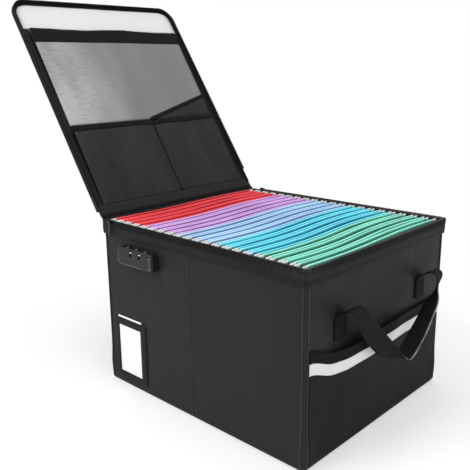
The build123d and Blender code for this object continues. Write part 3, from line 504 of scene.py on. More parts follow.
def tube(name, path, radius, paint, body, sides=10, **kw):
    """A round cord along a path, closed at its ends."""
    path = [Vector(p) for p in path]
    sections, uvs, up = [], [], None
    angles = [2 * pi * m / sides for m in range(sides)]
    for p, (before, after), travelled in zip(path, neighbours(path), lengths(path)):
        along = (after - before).normalized()
        up = up or along.orthogonal().normalized()
        up = (up - along * up.dot(along)).normalized()
        sections.append([p + up * (cos(a) * radius) + along.cross(up) * (sin(a) * radius) for a in angles])
        uvs += [(a * radius, travelled) for a in angles]
    points, faces = [], []
    loft(sections, points, faces)
    return piece(name, points, faces, paint, body, uvs, **kw)


def dress(paint, nodes):
    """Gives CAD nodes a better material."""
    for node in nodes.split():
        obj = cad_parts[node]
        if not obj.material_slots:
            obj.data.materials.append(paint.mat)
        for slot in obj.material_slots:
            slot.material = paint.mat


# ---------------------------------------------------------------- walls, base and rim
def out_from(p, out, level):
    """The place that stands out from a point (x, y, outward x, outward y, ...) of a path, at a level."""
    return p[0] + p[2] * out, p[1] + p[3] * out, level


def wall_room(x, y, z, nx, ny):
    """How far the wall's cloth may stand out at a place: 0 under what is mounted on it."""
    room = smooth(TRAY_TOP, 40, z) * (1 - smooth(225, BAND_LOW, z))
    if ny < -0.5:
        past_lock = max(LOCK_X[0] - x, x - LOCK_X[1])
        if z > 172:
            room *= smooth(0, 16, past_lock if z > LOCK_LOW else max(past_lock, LOCK_LOW - z))
        if z < 222:
            room *= smooth(0, 14, max(CARD_X[0] - x, x - CARD_X[1], z - CARD_TOP))
    if abs(nx) > 0.5:
        if z > 130:
            room *= smooth(0, 18, max(abs(abs(y) - TAB_Y) - 18, TAB_FOOT - z))
        if nx > 0:
            room *= smooth(0, 26, z - POCKET_TOP)
    edge = HALF_X - 10 - abs(x) if abs(ny) > 0.5 else HALF_Y - 10 - abs(y)
    return room * smooth(0, 40, edge)


def corner_bulge(z, edge):
    """How far the cloth stands out over a corner of the boards low down, edge mm from the box's corner."""
    return 1.5 * bell(z - 30, 22) * smooth(24, 4, edge)


def wall_lift(x, y, z, nx, ny):
    """How far the wall's face stands out from the plain box."""
    swell = 1.5 * (0.5 + 0.5 * ripple((x, y, z), 95, 1)) + 0.35 * (0.5 + 0.5 * ripple((x, y, z * 0.6), 34, 2))
    lift, edge = wall_room(x, y, z, nx, ny) * swell, HALF_Y - abs(y)
    if abs(ny) > 0.5:
        lift += 0.3 * bell(abs(x) - 3.4, 1.8) - 0.4 * bell(x, 1.1)
        edge = HALF_X - abs(x)
    lift += corner_bulge(z, edge)
    lift -= 0.7 * smooth(20, 7, edge) * smooth(20, 60, z) * (1 - smooth(0, 1, abs(nx * ny)))
    if z < BASE_ROUND:
        lift -= BASE_ROUND - sqrt(BASE_ROUND ** 2 - (BASE_ROUND - z) ** 2)
    return lift


def make_walls():
    path = refine(ring(0, 5), lambda p: abs(p[3]) > 0.99 and abs(p[0]) < 6.5, 0.8)
    levels = [TRAY_TOP + (WALL_TOP - 0.4 - TRAY_TOP) * t ** 1.15 for t in shares(56)]

    def spot(z, p):
        lift = wall_lift(*p[:2], z, *p[2:4])
        return out_from(p, lift, z), out_from(p, min(lift, 0) - 0.9, z), (p[4], z)

    rows = grid(spot, levels, path)
    wall = slab("wall_cover_cloth", rows, CLOTH, "box", closed=True, replaces="wall_cover")
    for side, word in ((-1, "front"), (1, "back")):
        line = [(side * 1.7, side * (HALF_Y + 0.12), 84 + 2 * i) for i in range(76)]
        stitches(f"fold_stitches_{word}", line, (0, side, 0), "box", 4.2, 2.6, 0.7, 0.3)


def make_piping():
    """Two cords up each corner, one on each face."""
    count, foot, head = 0, 6.5, BAND_LOW + 1
    for sx, sy in ((1, 1), (-1, 1), (-1, -1), (1, -1)):
        for x, y, nx, ny in ((HALF_X, HALF_Y - CORNER, 1, 0), (HALF_X - CORNER, HALF_Y, 0, 1)):
            path = []
            for z in (foot + (head - foot) * t for t in shares(59)):
                out = 0.15 + corner_bulge(z, 5) - 0.35 * smooth(20, 60, z)
                drift = 0.15 * ripple((sx * x, sy * y, z), 30, 5)
                path.append((sx * (x + nx * out) + ny * drift, sy * (y + ny * out) + nx * drift, z))
            count += 1
            node = "corner_piping" if count == 1 else ""
            tube(f"corner_piping_{count}", path, 0.9, PIPING, "box", replaces=node)


def make_base():
    """The base's cloth, turned up into the walls all round and closed below the board."""
    turn = acos((BASE_ROUND - TRAY_TOP) / BASE_ROUND) / 8
    profile = [(inset, 0) for inset in (160, 120, 80, 40, 14)]
    profile += [(BASE_ROUND * (1 - sin(turn * i)), BASE_ROUND * (1 - cos(turn * i))) for i in range(9)]
    rows = []
    for (inset, z), run in zip(profile, lengths(profile)):
        pairs = zip(ring(inset, 8), ring(max(inset, 1.2), 8))
        rows.append([((*p[:2], z), (*q[:2], z + 0.9), (p[4], run)) for p, q in pairs])
    base = slab("base_cover_cloth", rows, BASE, "box", closed=True, cap=True, replaces="base_cover")


def gather(x, y, nx, ny, z):
    """The fine upright ribs where the rim's cloth is gathered towards the front corner of the pocket end."""
    if ny < -0.01:
        strength, along = smooth(40, 118, x), x
    elif nx > 0.9 and y < -100:
        strength, along = 1 - smooth(-160, -118, y), HALF_X + y + HALF_Y
    else:
        return 0
    fan, pitch = 1 + 0.05 * (BAND_TOP - z) / 16, 2.9
    wave = sin(2 * pi * (HALF_X + (along - HALF_X) * fan) / pitch + 1.2 * ripple((along, 0, z), 9, 3))
    uneven = 0.7 + 0.5 * ripple((along, 5, z * 0.3), 6, 8)
    return 0.75 * strength * wave * smooth(BAND_LOW + 3, BAND_LOW + 8, z) * uneven


def near_gather(p):
    return (p[3] < -0.01 and p[0] > 60) or (p[2] > 0.9 and p[1] < -118)


def make_band():
    """The folded band round the rim, with a rounded top, a sewn lower edge and soft pulls."""
    profile = [(0.1, 0), (2.3, 0.1), (2.9, 0.9), (3, 2.2), (2.5, 3.4), (2.95, 4.9)]
    profile += [(3, rise) for rise in (6.5, 8.5, 10.5, 12.8, 16, 18.8)]
    profile += [(2.6, 20.1), (1.6, 20.6), (-1.4, 20.6), (-3.2, 20.6), (-4.1, 20.2), (-4.4, 19.6)]

    def spot(place, p):
        (out, rise), run = place
        z = BAND_LOW + rise
        back, back_z = (out, min(WALL_TOP, z - 0.1)) if out < 0 or rise > 20 else (0.02, min(z, WALL_TOP))
        if out > 2.5:
            out += gather(*p[:4], z)
            if 3.5 < rise < 12:
                out += 0.45 * (0.5 + 0.5 * ripple((*p[:2], z), 22, 7))
        return out_from(p, out, z), out_from(p, back, back_z), (p[4], run)

    rows = grid(spot, zip(profile, lengths(profile)), refine(ring(0, 4), near_gather, 0.58))
    band = slab("rim_band_cloth", rows, BAND, "box", closed=True, replaces="rim_band")
    seam = ring(0, 4)
    seam.append(seam[0])
    line = [out_from(p, 2.55, BAND_LOW + 3.4) for p in seam]
    stitches("rim_band_stitches", line, [(p[2], p[3], 0) for p in seam], "box", 3.6, 2.4, 0.6)


make_walls()
make_piping()
make_base()
make_band()


# ---------------------------------------------------------------- zip on the rim and on the lid
def resample(path, pitch):
    """Even places along (x, y, nx, ny) points: (x, y, nx, ny, tangent x, tangent y)."""
    out, travelled, target = [], 0, pitch / 2
    for a, b in zip(path, path[1:]):
        seg = dist(a[:2], b[:2])
        while seg > 1e-9 and travelled + seg >= target:
            x, y, nx, ny = [u + (v - u) * (target - travelled) / seg for u, v in zip(a, b)]
            m = hypot(nx, ny) or 1
            out.append((x, y, nx / m, ny / m, (b[0] - a[0]) / seg, (b[1] - a[1]) / seg))
            target += pitch
        travelled += seg
    return out


def teeth_row(name, path, profile, place, body, replaces):
    """Zip teeth along (x, y, nx, ny) points. profile gives (level, half width, out from, out to) of each
    tooth's sections, and place(x, y, level) their points."""
    points, faces = [], []
    for x, y, nx, ny, tx, ty in resample(path, 1.9):
        sections = []
        for level, half, low, high in profile:
            corners = ((-half, low), (-half, high), (half, high), (half, low))
            sections.append([place(x + nx * out + tx * t, y + ny * out + ty * t, level)
                             for t, out in corners])
        loft(sections, points, faces)
    piece(name, points, faces, TEETH, body, replaces=replaces, smooth_faces=False)


def zip_tape(name, path, profile, back, place, body, replaces, extra=None):
    """Zip tape along (x, y, nx, ny) points, over places (out, level), with its other face back mm out."""
    def spot(station, step):
        (out, level), (p, run) = station, step
        if extra and out > back + 0.3:
            out += extra(*p, level)
        return place(*out_from(p, out, level)), place(*out_from(p, back, level)), (run, level)

    slab(name, grid(spot, profile, zip(path, lengths(path))), ZIP_TAPE, body, replaces=replaces)


def make_rim_zip():
    """The rim's half of the zip, which runs round the box from near one hinge corner to the other."""
    kept = [p for p in refine(ring(0, 3), near_gather, 0.58)
            if p[2] > -0.01 and not (abs(p[3]) > 0.99 and p[0] < ZIP_START)]
    past_hinge = 700
    run = [p[:4] for p in kept if p[4] > past_hinge] + [p[:4] for p in kept if p[4] <= past_hinge]
    tape = [(3.1, 250.7), (3.5, 251.2), (3.6, 252.5), (3.6, 254.5), (3.6, 256.5), (3.6, 258), (3.4, 258.6)]
    teeth = [(254, 0.3, 3.5, 3.95), (258.4, 0.42, 2.4, 3.95), (259.6, 0.5, 2.4, 3.6), (260, 0.34, 2.4, 3.6)]
    zip_tape("rim_zip_tape_cloth", run, tape, 2.9, lambda *p: p, "box", "box_zip_tape", gather)
    teeth_row("rim_zip_teeth", run, teeth, lambda *p: p, "box", "box_zip_teeth")


def lid_outline(inset, step, first=LID_START):
    """Points round the lid in (u, y) with outward normals, starting at the front hinge corner and running
    along the front edge, the free edge and the back edge. It is open at the hinge side."""
    r, half = LID_CORNER - inset, LID_HALF_Y - inset
    turn = LID_END - inset - r
    n, m = max(2, round((turn - first) / step)), max(2, round(2 * (half - r) / step))
    side = [(first + (turn - first) * t, -half, 0, -1) for t in shares(n)]
    side += [(turn + r * sin(a), r - half - r * cos(a), sin(a), -cos(a))
             for a in (pi / 2 * t for t in shares(12)[1:-1])]
    free = [(turn + r, (half - r) * t, 1, 0) for t in shares(m, -1)]
    return side + free + [(u, -y, nu, -ny) for u, y, nu, ny in side[::-1]]


def lid_trim(name, edge, profile, behind, cloth, paint, **kw):
    """Cloth along the lid's edge over places (inset, level), with its other face behind and its own uv."""
    def spot(station, step):
        (inset, w), (p, run) = station, step
        back, back_w = behind(inset, w)
        face, other = lid_point(*out_from(p, -inset, w)), lid_point(*out_from(p, -back, back_w))
        return face, other, cloth(run, inset, w)

    return slab(name, grid(spot, profile, zip(edge, lengths(edge))), paint, "lid", **kw)


def flat(u, y):
    """No lift or slide at any place."""
    return 0


def lid_sheet(name, span, across, level, thickness, paint, rows, cols, lift=flat, slide=flat, rounded=False,
              **kw):
    """A sheet on the lid between two distances from the hinge and two places across, cut to the lid's rounded
    outline where asked. lift(u, y) moves it outward and slide(u, y) along the lid."""
    inset = LID_HALF_Y - across[1]
    r, turn = LID_CORNER - inset, LID_END - LID_CORNER

    def spot(t, s):
        u, cut = span[0] + (span[1] - span[0]) * t, 0
        if rounded and u > turn:
            cut = r - sqrt(max(0, r * r - (u - turn) ** 2))
        y = across[0] + cut + (across[1] - across[0] - 2 * cut) * s
        u += slide(u, y)
        w = level + lift(u, y)
        return lid_point(u, y, w), lid_point(u, y, w + thickness), (y, u)

    return slab(name, grid(spot, shares(rows), shares(cols)), paint, "lid", **kw)


def make_lid():
    def puff(u, y):
        room = smooth(8, 30, u) * smooth(LID_END - 4, LID_END - 40, u)
        room *= smooth(LID_HALF_Y - 4, LID_HALF_Y - 40, abs(y))
        return room * (1 + 1.2 * ripple((u, y, 0), 90, 9) + 0.3 * ripple((u, y, 3), 30, 4))

    half = LID_HALF_Y - 0.4
    top = lid_sheet("lid_cover_top", (LID_START, LID_END - 0.4), (-half, half), 5.15, 0.75, CLOTH, 56, 48,
                    puff, rounded=True, replaces="lid_cover")
    profile = [(0.9, -0.6), (0.1, -0.5), (0, 0.4), (0, 2.4), (0, 4.2), (0.25, 5.2), (0.9, 5.9), (2.4, 6.1)]
    skirt = lid_trim("lid_cover_skirt", lid_outline(0, 5), profile,
                     lambda inset, w: (max(inset, 0.95), min(w, 5.2)), lambda run, inset, w: (run, w), CLOTH)
    lining = lid_sheet("lid_lining_cloth", (LINING_START, LINING_END), (-LINING_HALF, LINING_HALF), 2.45, 0.6,
                       LID_LINING, 48, 40, rounded=True, replaces="lid_lining")
    profile = [(0, 2.4), (0.1, 1.75), (0.8, 1.35), (2.6, 1.2), (4.6, 1.35), (5.6, 1.7), (6, 2.4)]
    lid_trim("lid_binding_tape", lid_outline(0.9, 4, LINING_START), profile, lambda inset, w: (inset, 2.45),
             lambda run, inset, w: (inset, run), BINDING, replaces="lid_binding")
    panel = lid_sheet("lid_light_panel_cloth", (333, 379), (-161, 161), 1.85, 0.6, PANEL, 14, 30,
                      lambda u, y: 0.3 * ripple((u, y, 0), 40, 3), rounded=True, replaces="lid_light_panel")
    edge = lid_outline(0, 3, first=33.5)
    teeth = [(-2.2, 0.3, -1.1, 0.6), (-2.5, 0.42, -1.1, 0.6), (-3.3, 0.5, -1.1, 0.6), (-3.7, 0.34, -1.1, 0.6)]
    tape = [(0.55, -2.3), (0.6, -1.6), (0.6, 0), (0.6, 2.5), (0.6, 4), (0.4, 4.3)]
    teeth_row("lid_zip_teeth_row", edge, teeth, lid_point, "lid", "lid_zip_teeth")
    zip_tape("lid_zip_tape_cloth", edge, tape, 0.02, lid_point, "lid", "lid_zip_tape")


def wedge(foot, mouth, seed):
    """How a pocket of the lid stands out: flat at its foot, slack in the middle and open at its mouth."""
    def lift(u, y):
        t = min(1, max(0, (u - foot) / (mouth - foot)))
        wave = 0.45 + 0.55 * (0.5 + 0.5 * sin(y / 38 + seed)) + 0.25 * ripple((u, y, 0), 30, seed)
        slack = 0.35 * sin(pi * t) * ripple((u * 0.5 + y * 0.4, y * 0.5 - u * 0.4, 0), 17, seed + 1)
        return -(0.5 + 3.9 * t) - (1.2 * t * t * wave + slack) * smooth(NET_HALF, NET_HALF - 34, abs(y))
    return lift


def make_pockets():
    doc, plain = wedge(DOC_FOOT, DOC_MOUTH, 2), wedge(LOW_FOOT, LOW_MOUTH, 5)

    def low(u, y):
        return plain(u, y) * (0.4 + 0.6 * smooth(0, 26, abs(y - DIVIDER_Y)) if u > 30 else 1)

    def doc_edge(u, y):
        wave = 1.5 * sin(y / 27 + 0.6) + 1.1 * ripple((0, y, 0), 24, 6) - 1.5
        return wave * smooth(DOC_MOUTH - DOC_HEM - 4, DOC_MOUTH, u)

    def low_edge(u, y):
        wave = 0.8 * sin(y / 31 + 2) - 1.2 * bell(y - DIVIDER_Y, 22)
        return wave * smooth(LOW_MOUTH - 20, LOW_MOUTH, u)

    across = (-NET_HALF, NET_HALF)
    for word, foot, seam, mouth, lift, slide, paint, rows, hem_rows, length, inset in (
            ("document", DOC_FOOT, DOC_MOUTH - DOC_HEM, DOC_MOUTH, doc, doc_edge, NET, 44, 12, 0.155, 2.4),
            ("lower", LOW_FOOT, LOW_MOUTH - LOW_HEM, LOW_MOUTH, low, low_edge, NET_DARK, 36, 6, 0.13, 1.6)):
        cloth = lid_sheet(f"{word}_pocket_net", (foot, seam + 2), across, 2, 0.35, paint, rows, 60,
                          lift, slide, replaces=f"{word}_pocket_mesh")
        hem = lid_sheet(f"{word}_pocket_hem_cloth", (seam, mouth), across, 1.45, 0.95, HEM, hem_rows, 72,
                        lift, slide, replaces=f"{word}_pocket_hem")
        u = seam + inset
        line = [lid_point(u, y, 1.4 + lift(u, y)) for y in range(-150, 151, 5)]
        stitches(f"{word}_hem_stitches", line, -LID_W, "lid", width=0.6)
    lid_sheet("lower_pocket_divider", (LOW_FOOT, LOW_MOUTH - LOW_HEM), (DIVIDER_Y - 1.8, DIVIDER_Y + 1.8),
              1.55, 0.5, BINDING, 24, 3, low, low_edge)
    line = [lid_point(u, DIVIDER_Y, 1.5 + low(u, DIVIDER_Y)) for u in range(18, 142, 4)]
    stitches("divider_stitches", line, -LID_W, "lid")

    def slanted(name, paint, node, start, end, level, thick, rows):
        """A part of the corner pocket, from start(top) to end(top) where top is its slanting mouth."""
        def spot(t, s):
            y, top = DIVIDER_Y + 144 * s, DOC_FOOT + 2 + 39 * s
            u = start(top) + (end(top) - start(top)) * t
            w = level + doc(u, y) - 0.3 * sin(pi * t)
            return lid_point(u, y, w), lid_point(u, y, w + thick), (y, u)

        return slab(name, grid(spot, shares(rows), shares(30)), paint, "lid", replaces=node)

    corner = slanted("corner_pocket_net", NET_DARK, "corner_pocket_mesh", lambda top: DOC_FOOT + 0.4,
                     lambda top: top, 1.25, 0.4, 12)
    hem = slanted("corner_pocket_hem_cloth", HEM, "corner_pocket_hem", lambda top: max(151, top - 7),
                  lambda top: top + 0.6, 0.65, 0.5, 5)


def make_hinge():
    """The cloth hinge from the rim to the lid's back edge, shaped to the lid at its open angle. It is as wide
    as the lid and follows the rim's rounded corners."""
    half, thick, round_rim, step = 167.6, 0.4, CORNER + 3, 3.4
    on_rim = ((0, 250.4, 0.3), (0, 253.5, 0.45), (0, 256.5, 0.5), (0, 259, 0.5), (0.55, 261.4, 0.4),
              (1, 262.9, 0.3))
    on_lid = ((1.2, -0.2), (3.5, 0.35), (7, 0.8), (11.5, 1.2), (16, 1.55))

    def spot(place, t):
        k, along = place
        y = half * t
        if len(along) == 2:
            p, inward = lid_point(along[0], y, along[1]), LID_W * thick
        else:
            share, z, out = along
            over = max(0, abs(y) - (HALF_Y - CORNER))
            rim_x = CORNER - HALF_X - sqrt(max(0, round_rim ** 2 - over ** 2))
            p, inward = Vector((rim_x + (HINGE.x - rim_x) * share - out, y, z)), Vector((thick, 0, 0))
        return p, p + inward, (y, k * step)

    rows = grid(spot, enumerate(on_rim + on_lid), shares(84, -1))
    obj = slab("hinge_cloth", rows, BAND, None, replaces="hinge_tape lid_hinge_strip")
    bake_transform(obj)


make_rim_zip()
make_lid()
make_pockets()
make_hinge()


# ---------------------------------------------------------------- folders
def sway(centre, y):
    """How far a folder bows along the row, where papers have set it in a soft S. The last ones bow less."""
    return -min(4.8, 184.4 - abs(centre) - MOUTH_HALF * 1.08) * sin(pi * y / FOLDER_HALF)


def folder_section():
    """Half of a folder's section as (out from its middle, z): from the inner flap of the fold over the hook's
    bar, over the bar and down the leaf to the foot."""
    fold = ((2.62, 249.8), (2.6, 253.5), (2.6, 257.2), (2.42, 258.35), (1.6, FOLD_TOP), (0.75, 258.45),
            (0.4, 257.5), (0.3, 254), (0.3, LEAF_TOP))
    narrower, fall = MOUTH_HALF - FOOT_HALF, LEAF_TOP - FOLDER_LOW - 1.2
    leaf = [(MOUTH_HALF - 0.3 - narrower * t, LEAF_TOP - fall * t) for t in shares(12)[1:]]
    return [(MOUTH_HALF - back, z) for back, z in fold] + leaf + [(FOOT_HALF - 1.1, FOLDER_LOW + 0.3)]


def make_folders():
    half = folder_section()
    line = [(-x, z) for x, z in half] + [(0, FOLDER_LOW + 0.3)] + half[::-1]
    normals = [((a[1] - b[1]) / dist(a, b), (b[0] - a[0]) / dist(a, b)) for a, b in neighbours(line)]
    thick = 0.26
    for c, colour in enumerate(CARDS):
        points, faces, uvs, bars = [], [], [], []
        for k in range(PER_COLOUR):
            number = c * PER_COLOUR + k
            centre = PITCH * (number + 0.5 - len(CARDS) * PER_COLOUR / 2)
            spread = 1 + 0.05 * sin(4.1 * number + 1)

            def spot(place, t):
                (x, z), (nx, nz), run = place
                y, waves = FOLDER_HALF * t, smooth(249, 225, z) * smooth(FOLDER_LOW, 60, z)
                x = centre + x * spread + sway(centre, y) * smooth(FOLDER_LOW, 190, z)
                x += 0.7 * waves * ripple((centre * 3, y, z), 70, 11 + k)
                dx, dz = nx * thick, nz * thick
                return (x + dx, y, z + dz), (x - dx, y, z - dz), (y, run)

            two_sided(grid(spot, zip(line, normals, lengths(line)), shares(36, -1)), points, faces, uvs)
            bars += [(centre, side * (MOUTH_HALF - 1.5) * spread) for side in (-1, 1)]
        body = f"{colour}_set"
        piece(f"{colour}_folder_cards", points, faces, CARDS[colour], body, uvs, replaces=f"{colour}_folders")
        hook_bars(colour, bars)


def hook_bars(colour, bars):
    """The flat bars in the folders' folds, notched near their tips where they hang on the rails."""
    foot, top = 250.4, 258.4
    tip = [(158.7, 252.6, 257.9), (158.2, 251.2, 258.25), (157.4, 250.5, top), (156.42, foot, top),
           (156.4, 254.4, top), (153.6, 254.4, top), (153.58, foot, top), (149.5, foot, top)]
    middle = [(FOLDER_HALF * (j / 16 - 1), foot, top) for j in range(1, 32)]
    points, faces, uvs = [], [], []
    for centre, side in bars:
        sections = []
        for y, low, high in [(-y, a, b) for y, a, b in tip] + middle + tip[::-1]:
            mid = centre + side + (sway(centre, y) if abs(y) < FOLDER_HALF else 0)
            edge = [(0.55, low), (0.7, low + 0.25), (0.7, high - 0.25), (0.55, high)]
            edge += [(-x, z) for x, z in edge[::-1]]
            sections.append([(mid + x, y, z) for x, z in edge])
            uvs += [(y, z) for x, z in edge]
        loft(sections, points, faces)
    piece(f"{colour}_hook_bars", points, faces, HOOK, f"{colour}_set", uvs, f"{colour}_folder_hooks", False)


make_folders()

# ---------------------------------------------------------------- handles
# half of the strap's route as (x, y, z), how its width turns along it, and a tab's route as (x, z)
STRAP = ((210.5, 98, 199), (213.5, 98, 199), (217.4, 97.6, 197.8), (220.2, 96.4, 194), (221.6, 93.8, 187.5),
         (222.2, 88.5, 178.5), (222.6, 78, 166), (223, 64, 151.5), (223.2, 48, 137), (223.2, 32, 123.5),
         (223, 18, 113.5), (223, 8, 108), (223, 0, 106.6))
TWIST = [(share, Vector(across)) for share, across in (
    (0, (0, 1, 0)), (0.1, (0.12, 1, 0.1)), (0.2, (0.4, 0.8, 0.55)), (0.32, (0.62, 0.5, 0.62)),
    (0.43, (0.9, 0.15, 0.3)), (0.5, (1, 0, 0)), (0.62, (1, -0.1, 0)), (0.8, (0.95, -0.35, 0.05)),
    (0.91, (0.4, -0.9, 0)), (1, (0, -1, 0)))]
TAB = ((192, 155.5), (192, 163), (192, 172), (192, 182), (192.3, 185), (194, 188), (197, 190.9),
       (200.6, 193.4), (204.4, 195.7), (208.2, 197.9))
CROSSED_BOX = ((-1, 0), (1, 0), (1, 1), (-1, 1), (-1, 0), (1, 1), (1, 0), (-1, 1))


def ribbon(name, path, widths, outs, thickness, body, **kw):
    """A flat strap along a path in mm, with its width's and its thickness's direction at each point."""
    def spot(place, t):
        p, across, out, run = place
        mid, half = p + across * (t / 2), out.normalized() * (thickness * (sqrt(1 - t ** 8) * 0.5 + 0.02))
        return mid + half, mid - half, (across.length * t / 2, run)

    return slab(name, grid(spot, zip(path, widths, outs, lengths(path)), shares(8, -1)), WEBBING, body, **kw)


def between(keys, f):
    """A number or a vector at f, from keys (f, number or vector)."""
    for (a, p), (b, q) in zip(keys, keys[1:]):
        if f <= b:
            return p + (q - p) * smooth(a, b, f)
    return keys[-1][1]


def make_handle(sign, side):
    points = [Vector((sign * x, -y, z)) for x, y, z in STRAP]
    points += [Vector((sign * x, y, z)) for x, y, z in STRAP[-2::-1]]
    path = [a.lerp(b, i / 4) for a, b in zip(points, points[1:]) for i in range(4)] + points[-1:]
    for _ in range(14):
        path = path[:2] + [(a + b * 2 + c) / 4 for a, b, c in zip(path[1:], path[2:], path[3:])] + path[-1:]
    widths, outs, run = [], [], lengths(path)
    for (a, b), travelled in zip(neighbours(path), run):
        along, across = (b - a).normalized(), Vector(between(TWIST, travelled / run[-1]))
        across.x *= sign
        across = (across - along * across.dot(along)).normalized()
        widths.append(across * STRAP_WIDTH)
        outs.append(along.cross(across))
    body = f"{side}_handle"
    ribbon(f"{body}_webbing", path, widths, outs, 2.2, body, replaces=f"{body}_strap")
    for y, word in ((-TAB_Y, "front"), (TAB_Y, "back")):
        roll = [(sign * STRAP[0][0], y + 12.6 * (i / 4 - 1), STRAP[0][2]) for i in range(9)]
        tube(f"{body}_fold_{word}", roll, 1.65, WEBBING, body)
        path = [Vector((sign * x, y, z)) for x, z in TAB]
        outs = [Vector((sign * (b.z - a.z), 0, -abs(b.x - a.x))) for a, b in neighbours(path)]
        ribbon(f"{body}_tab_{word}", path, [Vector((0, STRAP_WIDTH, 0))] * len(path), outs, 2, "box",
               replaces=f"{body}_tabs" if y < 0 else "")
        line = [(sign * 193, y + 9.5 * a, 158 + 22 * b) for a, b in CROSSED_BOX]
        stitches(f"{side}_tab_{word}_stitches", line, (sign, 0, 0), "box", 2.8, 2, height=0.3)


make_handle(1, "right")
make_handle(-1, "left")


# ---------------------------------------------------------------- side pocket
# how much of its greatest bulge the pocket has across the end wall, from -1 at the front to 1 at the back
SHARES = ((-1, 0), (-0.78, 0.32), (-0.52, 0.84), (-0.27, 1), (0.06, 0.66), (0.40, 0.36), (0.80, 0.24), (1, 0))


def bulge(y, z):
    """How far the pocket stands off the end wall."""
    open_share = (z - POCKET_FOOT) / (POCKET_TOP - POCKET_FOOT)
    return 0.15 + (1.6 + 9.6 * open_share) * between(SHARES, y / POCKET_HALF)


def mouth_rise(y):
    """How much higher the pocket's mouth is held: up at the front end, with a dip behind it."""
    return 11.5 * (1 - smooth(-POCKET_HALF, 46 - POCKET_HALF, y)) - 1.6 * bell(y + 92, 34)


def pocket_sheet(name, z0, z1, add, thick, paint, rows, replaces, wrinkle=0, power=0):
    """A part of the pocket between two levels. wrinkle is the depth of its creases, and power says how its
    rise grows from its foot to its top."""
    def spot(t, s):
        y, z = POCKET_HALF * s, z0 + (z1 - z0) * t
        x = HALF_X + bulge(y, z) + corner_bulge(z, HALF_Y - abs(y)) + add
        x += wrinkle * (0.5 + 0.5 * ripple((y, z, 0), 26, 8)) * smooth(z0, z0 + 20, z)
        z += mouth_rise(y) * t ** power
        return (x + thick, y, z), (x, y, z), (y, z)

    return slab(name, grid(spot, shares(rows), shares(90, -1)), paint, "box", replaces=replaces)


def make_side_pocket():
    cloth = pocket_sheet("side_pocket_net", POCKET_FOOT, 132, 0, 0.6, SIDE_NET, 40, "side_pocket_mesh",
                         0.5, 2)
    hem = pocket_sheet("side_pocket_hem_cloth", 131, POCKET_TOP, 0.2, 1.2, HEM, 8, "side_pocket_hem")
    strip = pocket_sheet("reflective_strip_tape", 116, 131, 1, 0.4, TAPE, 8, "reflective_strip")
    for z, name in ((133, "low"), (144, "high")):
        places = [POCKET_HALF * 0.985 * t for t in shares(63, -1)]
        line = [(HALF_X + bulge(y, z) + 1.5, y, z + mouth_rise(y)) for y in places]
        stitches(f"pocket_hem_stitches_{name}", line, (1, 0, 0), width=0.6)


make_side_pocket()


# ---------------------------------------------------------------- label holder and lock
def rounded_box(x0, x1, z0, z1, r):
    """Points round a box with rounded corners, from its upper right corner."""
    corners = ((x1 - r, z1 - r), (x0 + r, z1 - r), (x0 + r, z0 + r), (x1 - r, z0 + r))
    return [(x + r * cos(radians(90 * k + 15 * i)), z + r * sin(radians(90 * k + 15 * i)))
            for k, (x, z) in enumerate(corners) for i in range(7)]


def make_label():
    outer = rounded_box(-170, -100, 14, 111, LABEL_ROUND)
    window = rounded_box(-163, -113, 23, 99, 0.8)
    profile = ((0, 0.15), (0.02, 1.2), (0.08, 1.7), (0.35, 1.75), (0.65, 1.75), (0.93, 1.7), (0.98, 1.4),
               (1, 0.6))

    def spot(place, pair):
        (t, lift), (a, b) = place, pair
        x, z = a[0] + (b[0] - a[0]) * t, a[1] + (b[1] - a[1]) * t
        return (x, -HALF_Y - lift, z), (x, -HALF_Y - (0.52 if t > 0.5 else 0.02), z), (x, z)

    rows = grid(spot, profile, zip(outer, window))
    slab("label_frame_vinyl", rows, LABEL_VINYL, "box", closed=True, replaces="label_frame")
    seam = ((-167.8, 108.8), (-167.8, 16.2), (-102.2, 16.2), (-102.2, 108.8))
    line = [(x, -HALF_Y - 1.72, z) for x, z in seam]
    stitches("label_stitches", line, (0, -1, 0), "box", 3, 2, height=0.3)


def make_lock_details():
    """The row of small raised marks along the lock's lower left edge, and the numbers round its dials."""
    spots = ((-141.6, 219), (-141.6, 208.5), (-140.2, 205), (-137, 203.6), (-88, 203.6))
    line = [(x, -HALF_Y - 12.05, z) for x, z in spots]
    stitches("lock_edge_marks", line, (0, -1, 0), "box", 3.3, 1.7, 0.7, 0.25, GREY_THREAD)
    for k in range(3):
        points, faces, axis = [], [], Vector((DIAL_X + DIAL_STEP * k, -HALF_Y - 6, DIAL_Z))
        for number in range(10):
            curve = bpy.data.curves.new("number", "FONT")
            curve.body = str((number + 3 * k) % 10)
            curve.size, curve.extrude = 0.0034, 0.00006
            curve.align_x, curve.align_y = "CENTER", "CENTER"
            maker = bpy.data.objects.new("number", curve)
            mesh = bpy.data.meshes.new_from_object(maker)
            angle = pi / 10 + number * pi / 5
            out, up = Vector((0, cos(angle), sin(angle))), Vector((0, -sin(angle), cos(angle)))
            spot = axis + out * (5 * cos(pi / 10) + 0.02)
            turn = Matrix((up.cross(out), up, out)).transposed()
            faces += [tuple(len(points) + i for i in p.vertices) for p in mesh.polygons]
            points += [spot + turn @ v.co / MM for v in mesh.vertices]
            bpy.data.objects.remove(maker)
            bpy.data.meshes.remove(mesh)
            bpy.data.curves.remove(curve)
        piece(f"dial_{k + 1}_numbers", points, faces, INK, f"dial_{k + 1}", smooth_faces=False)


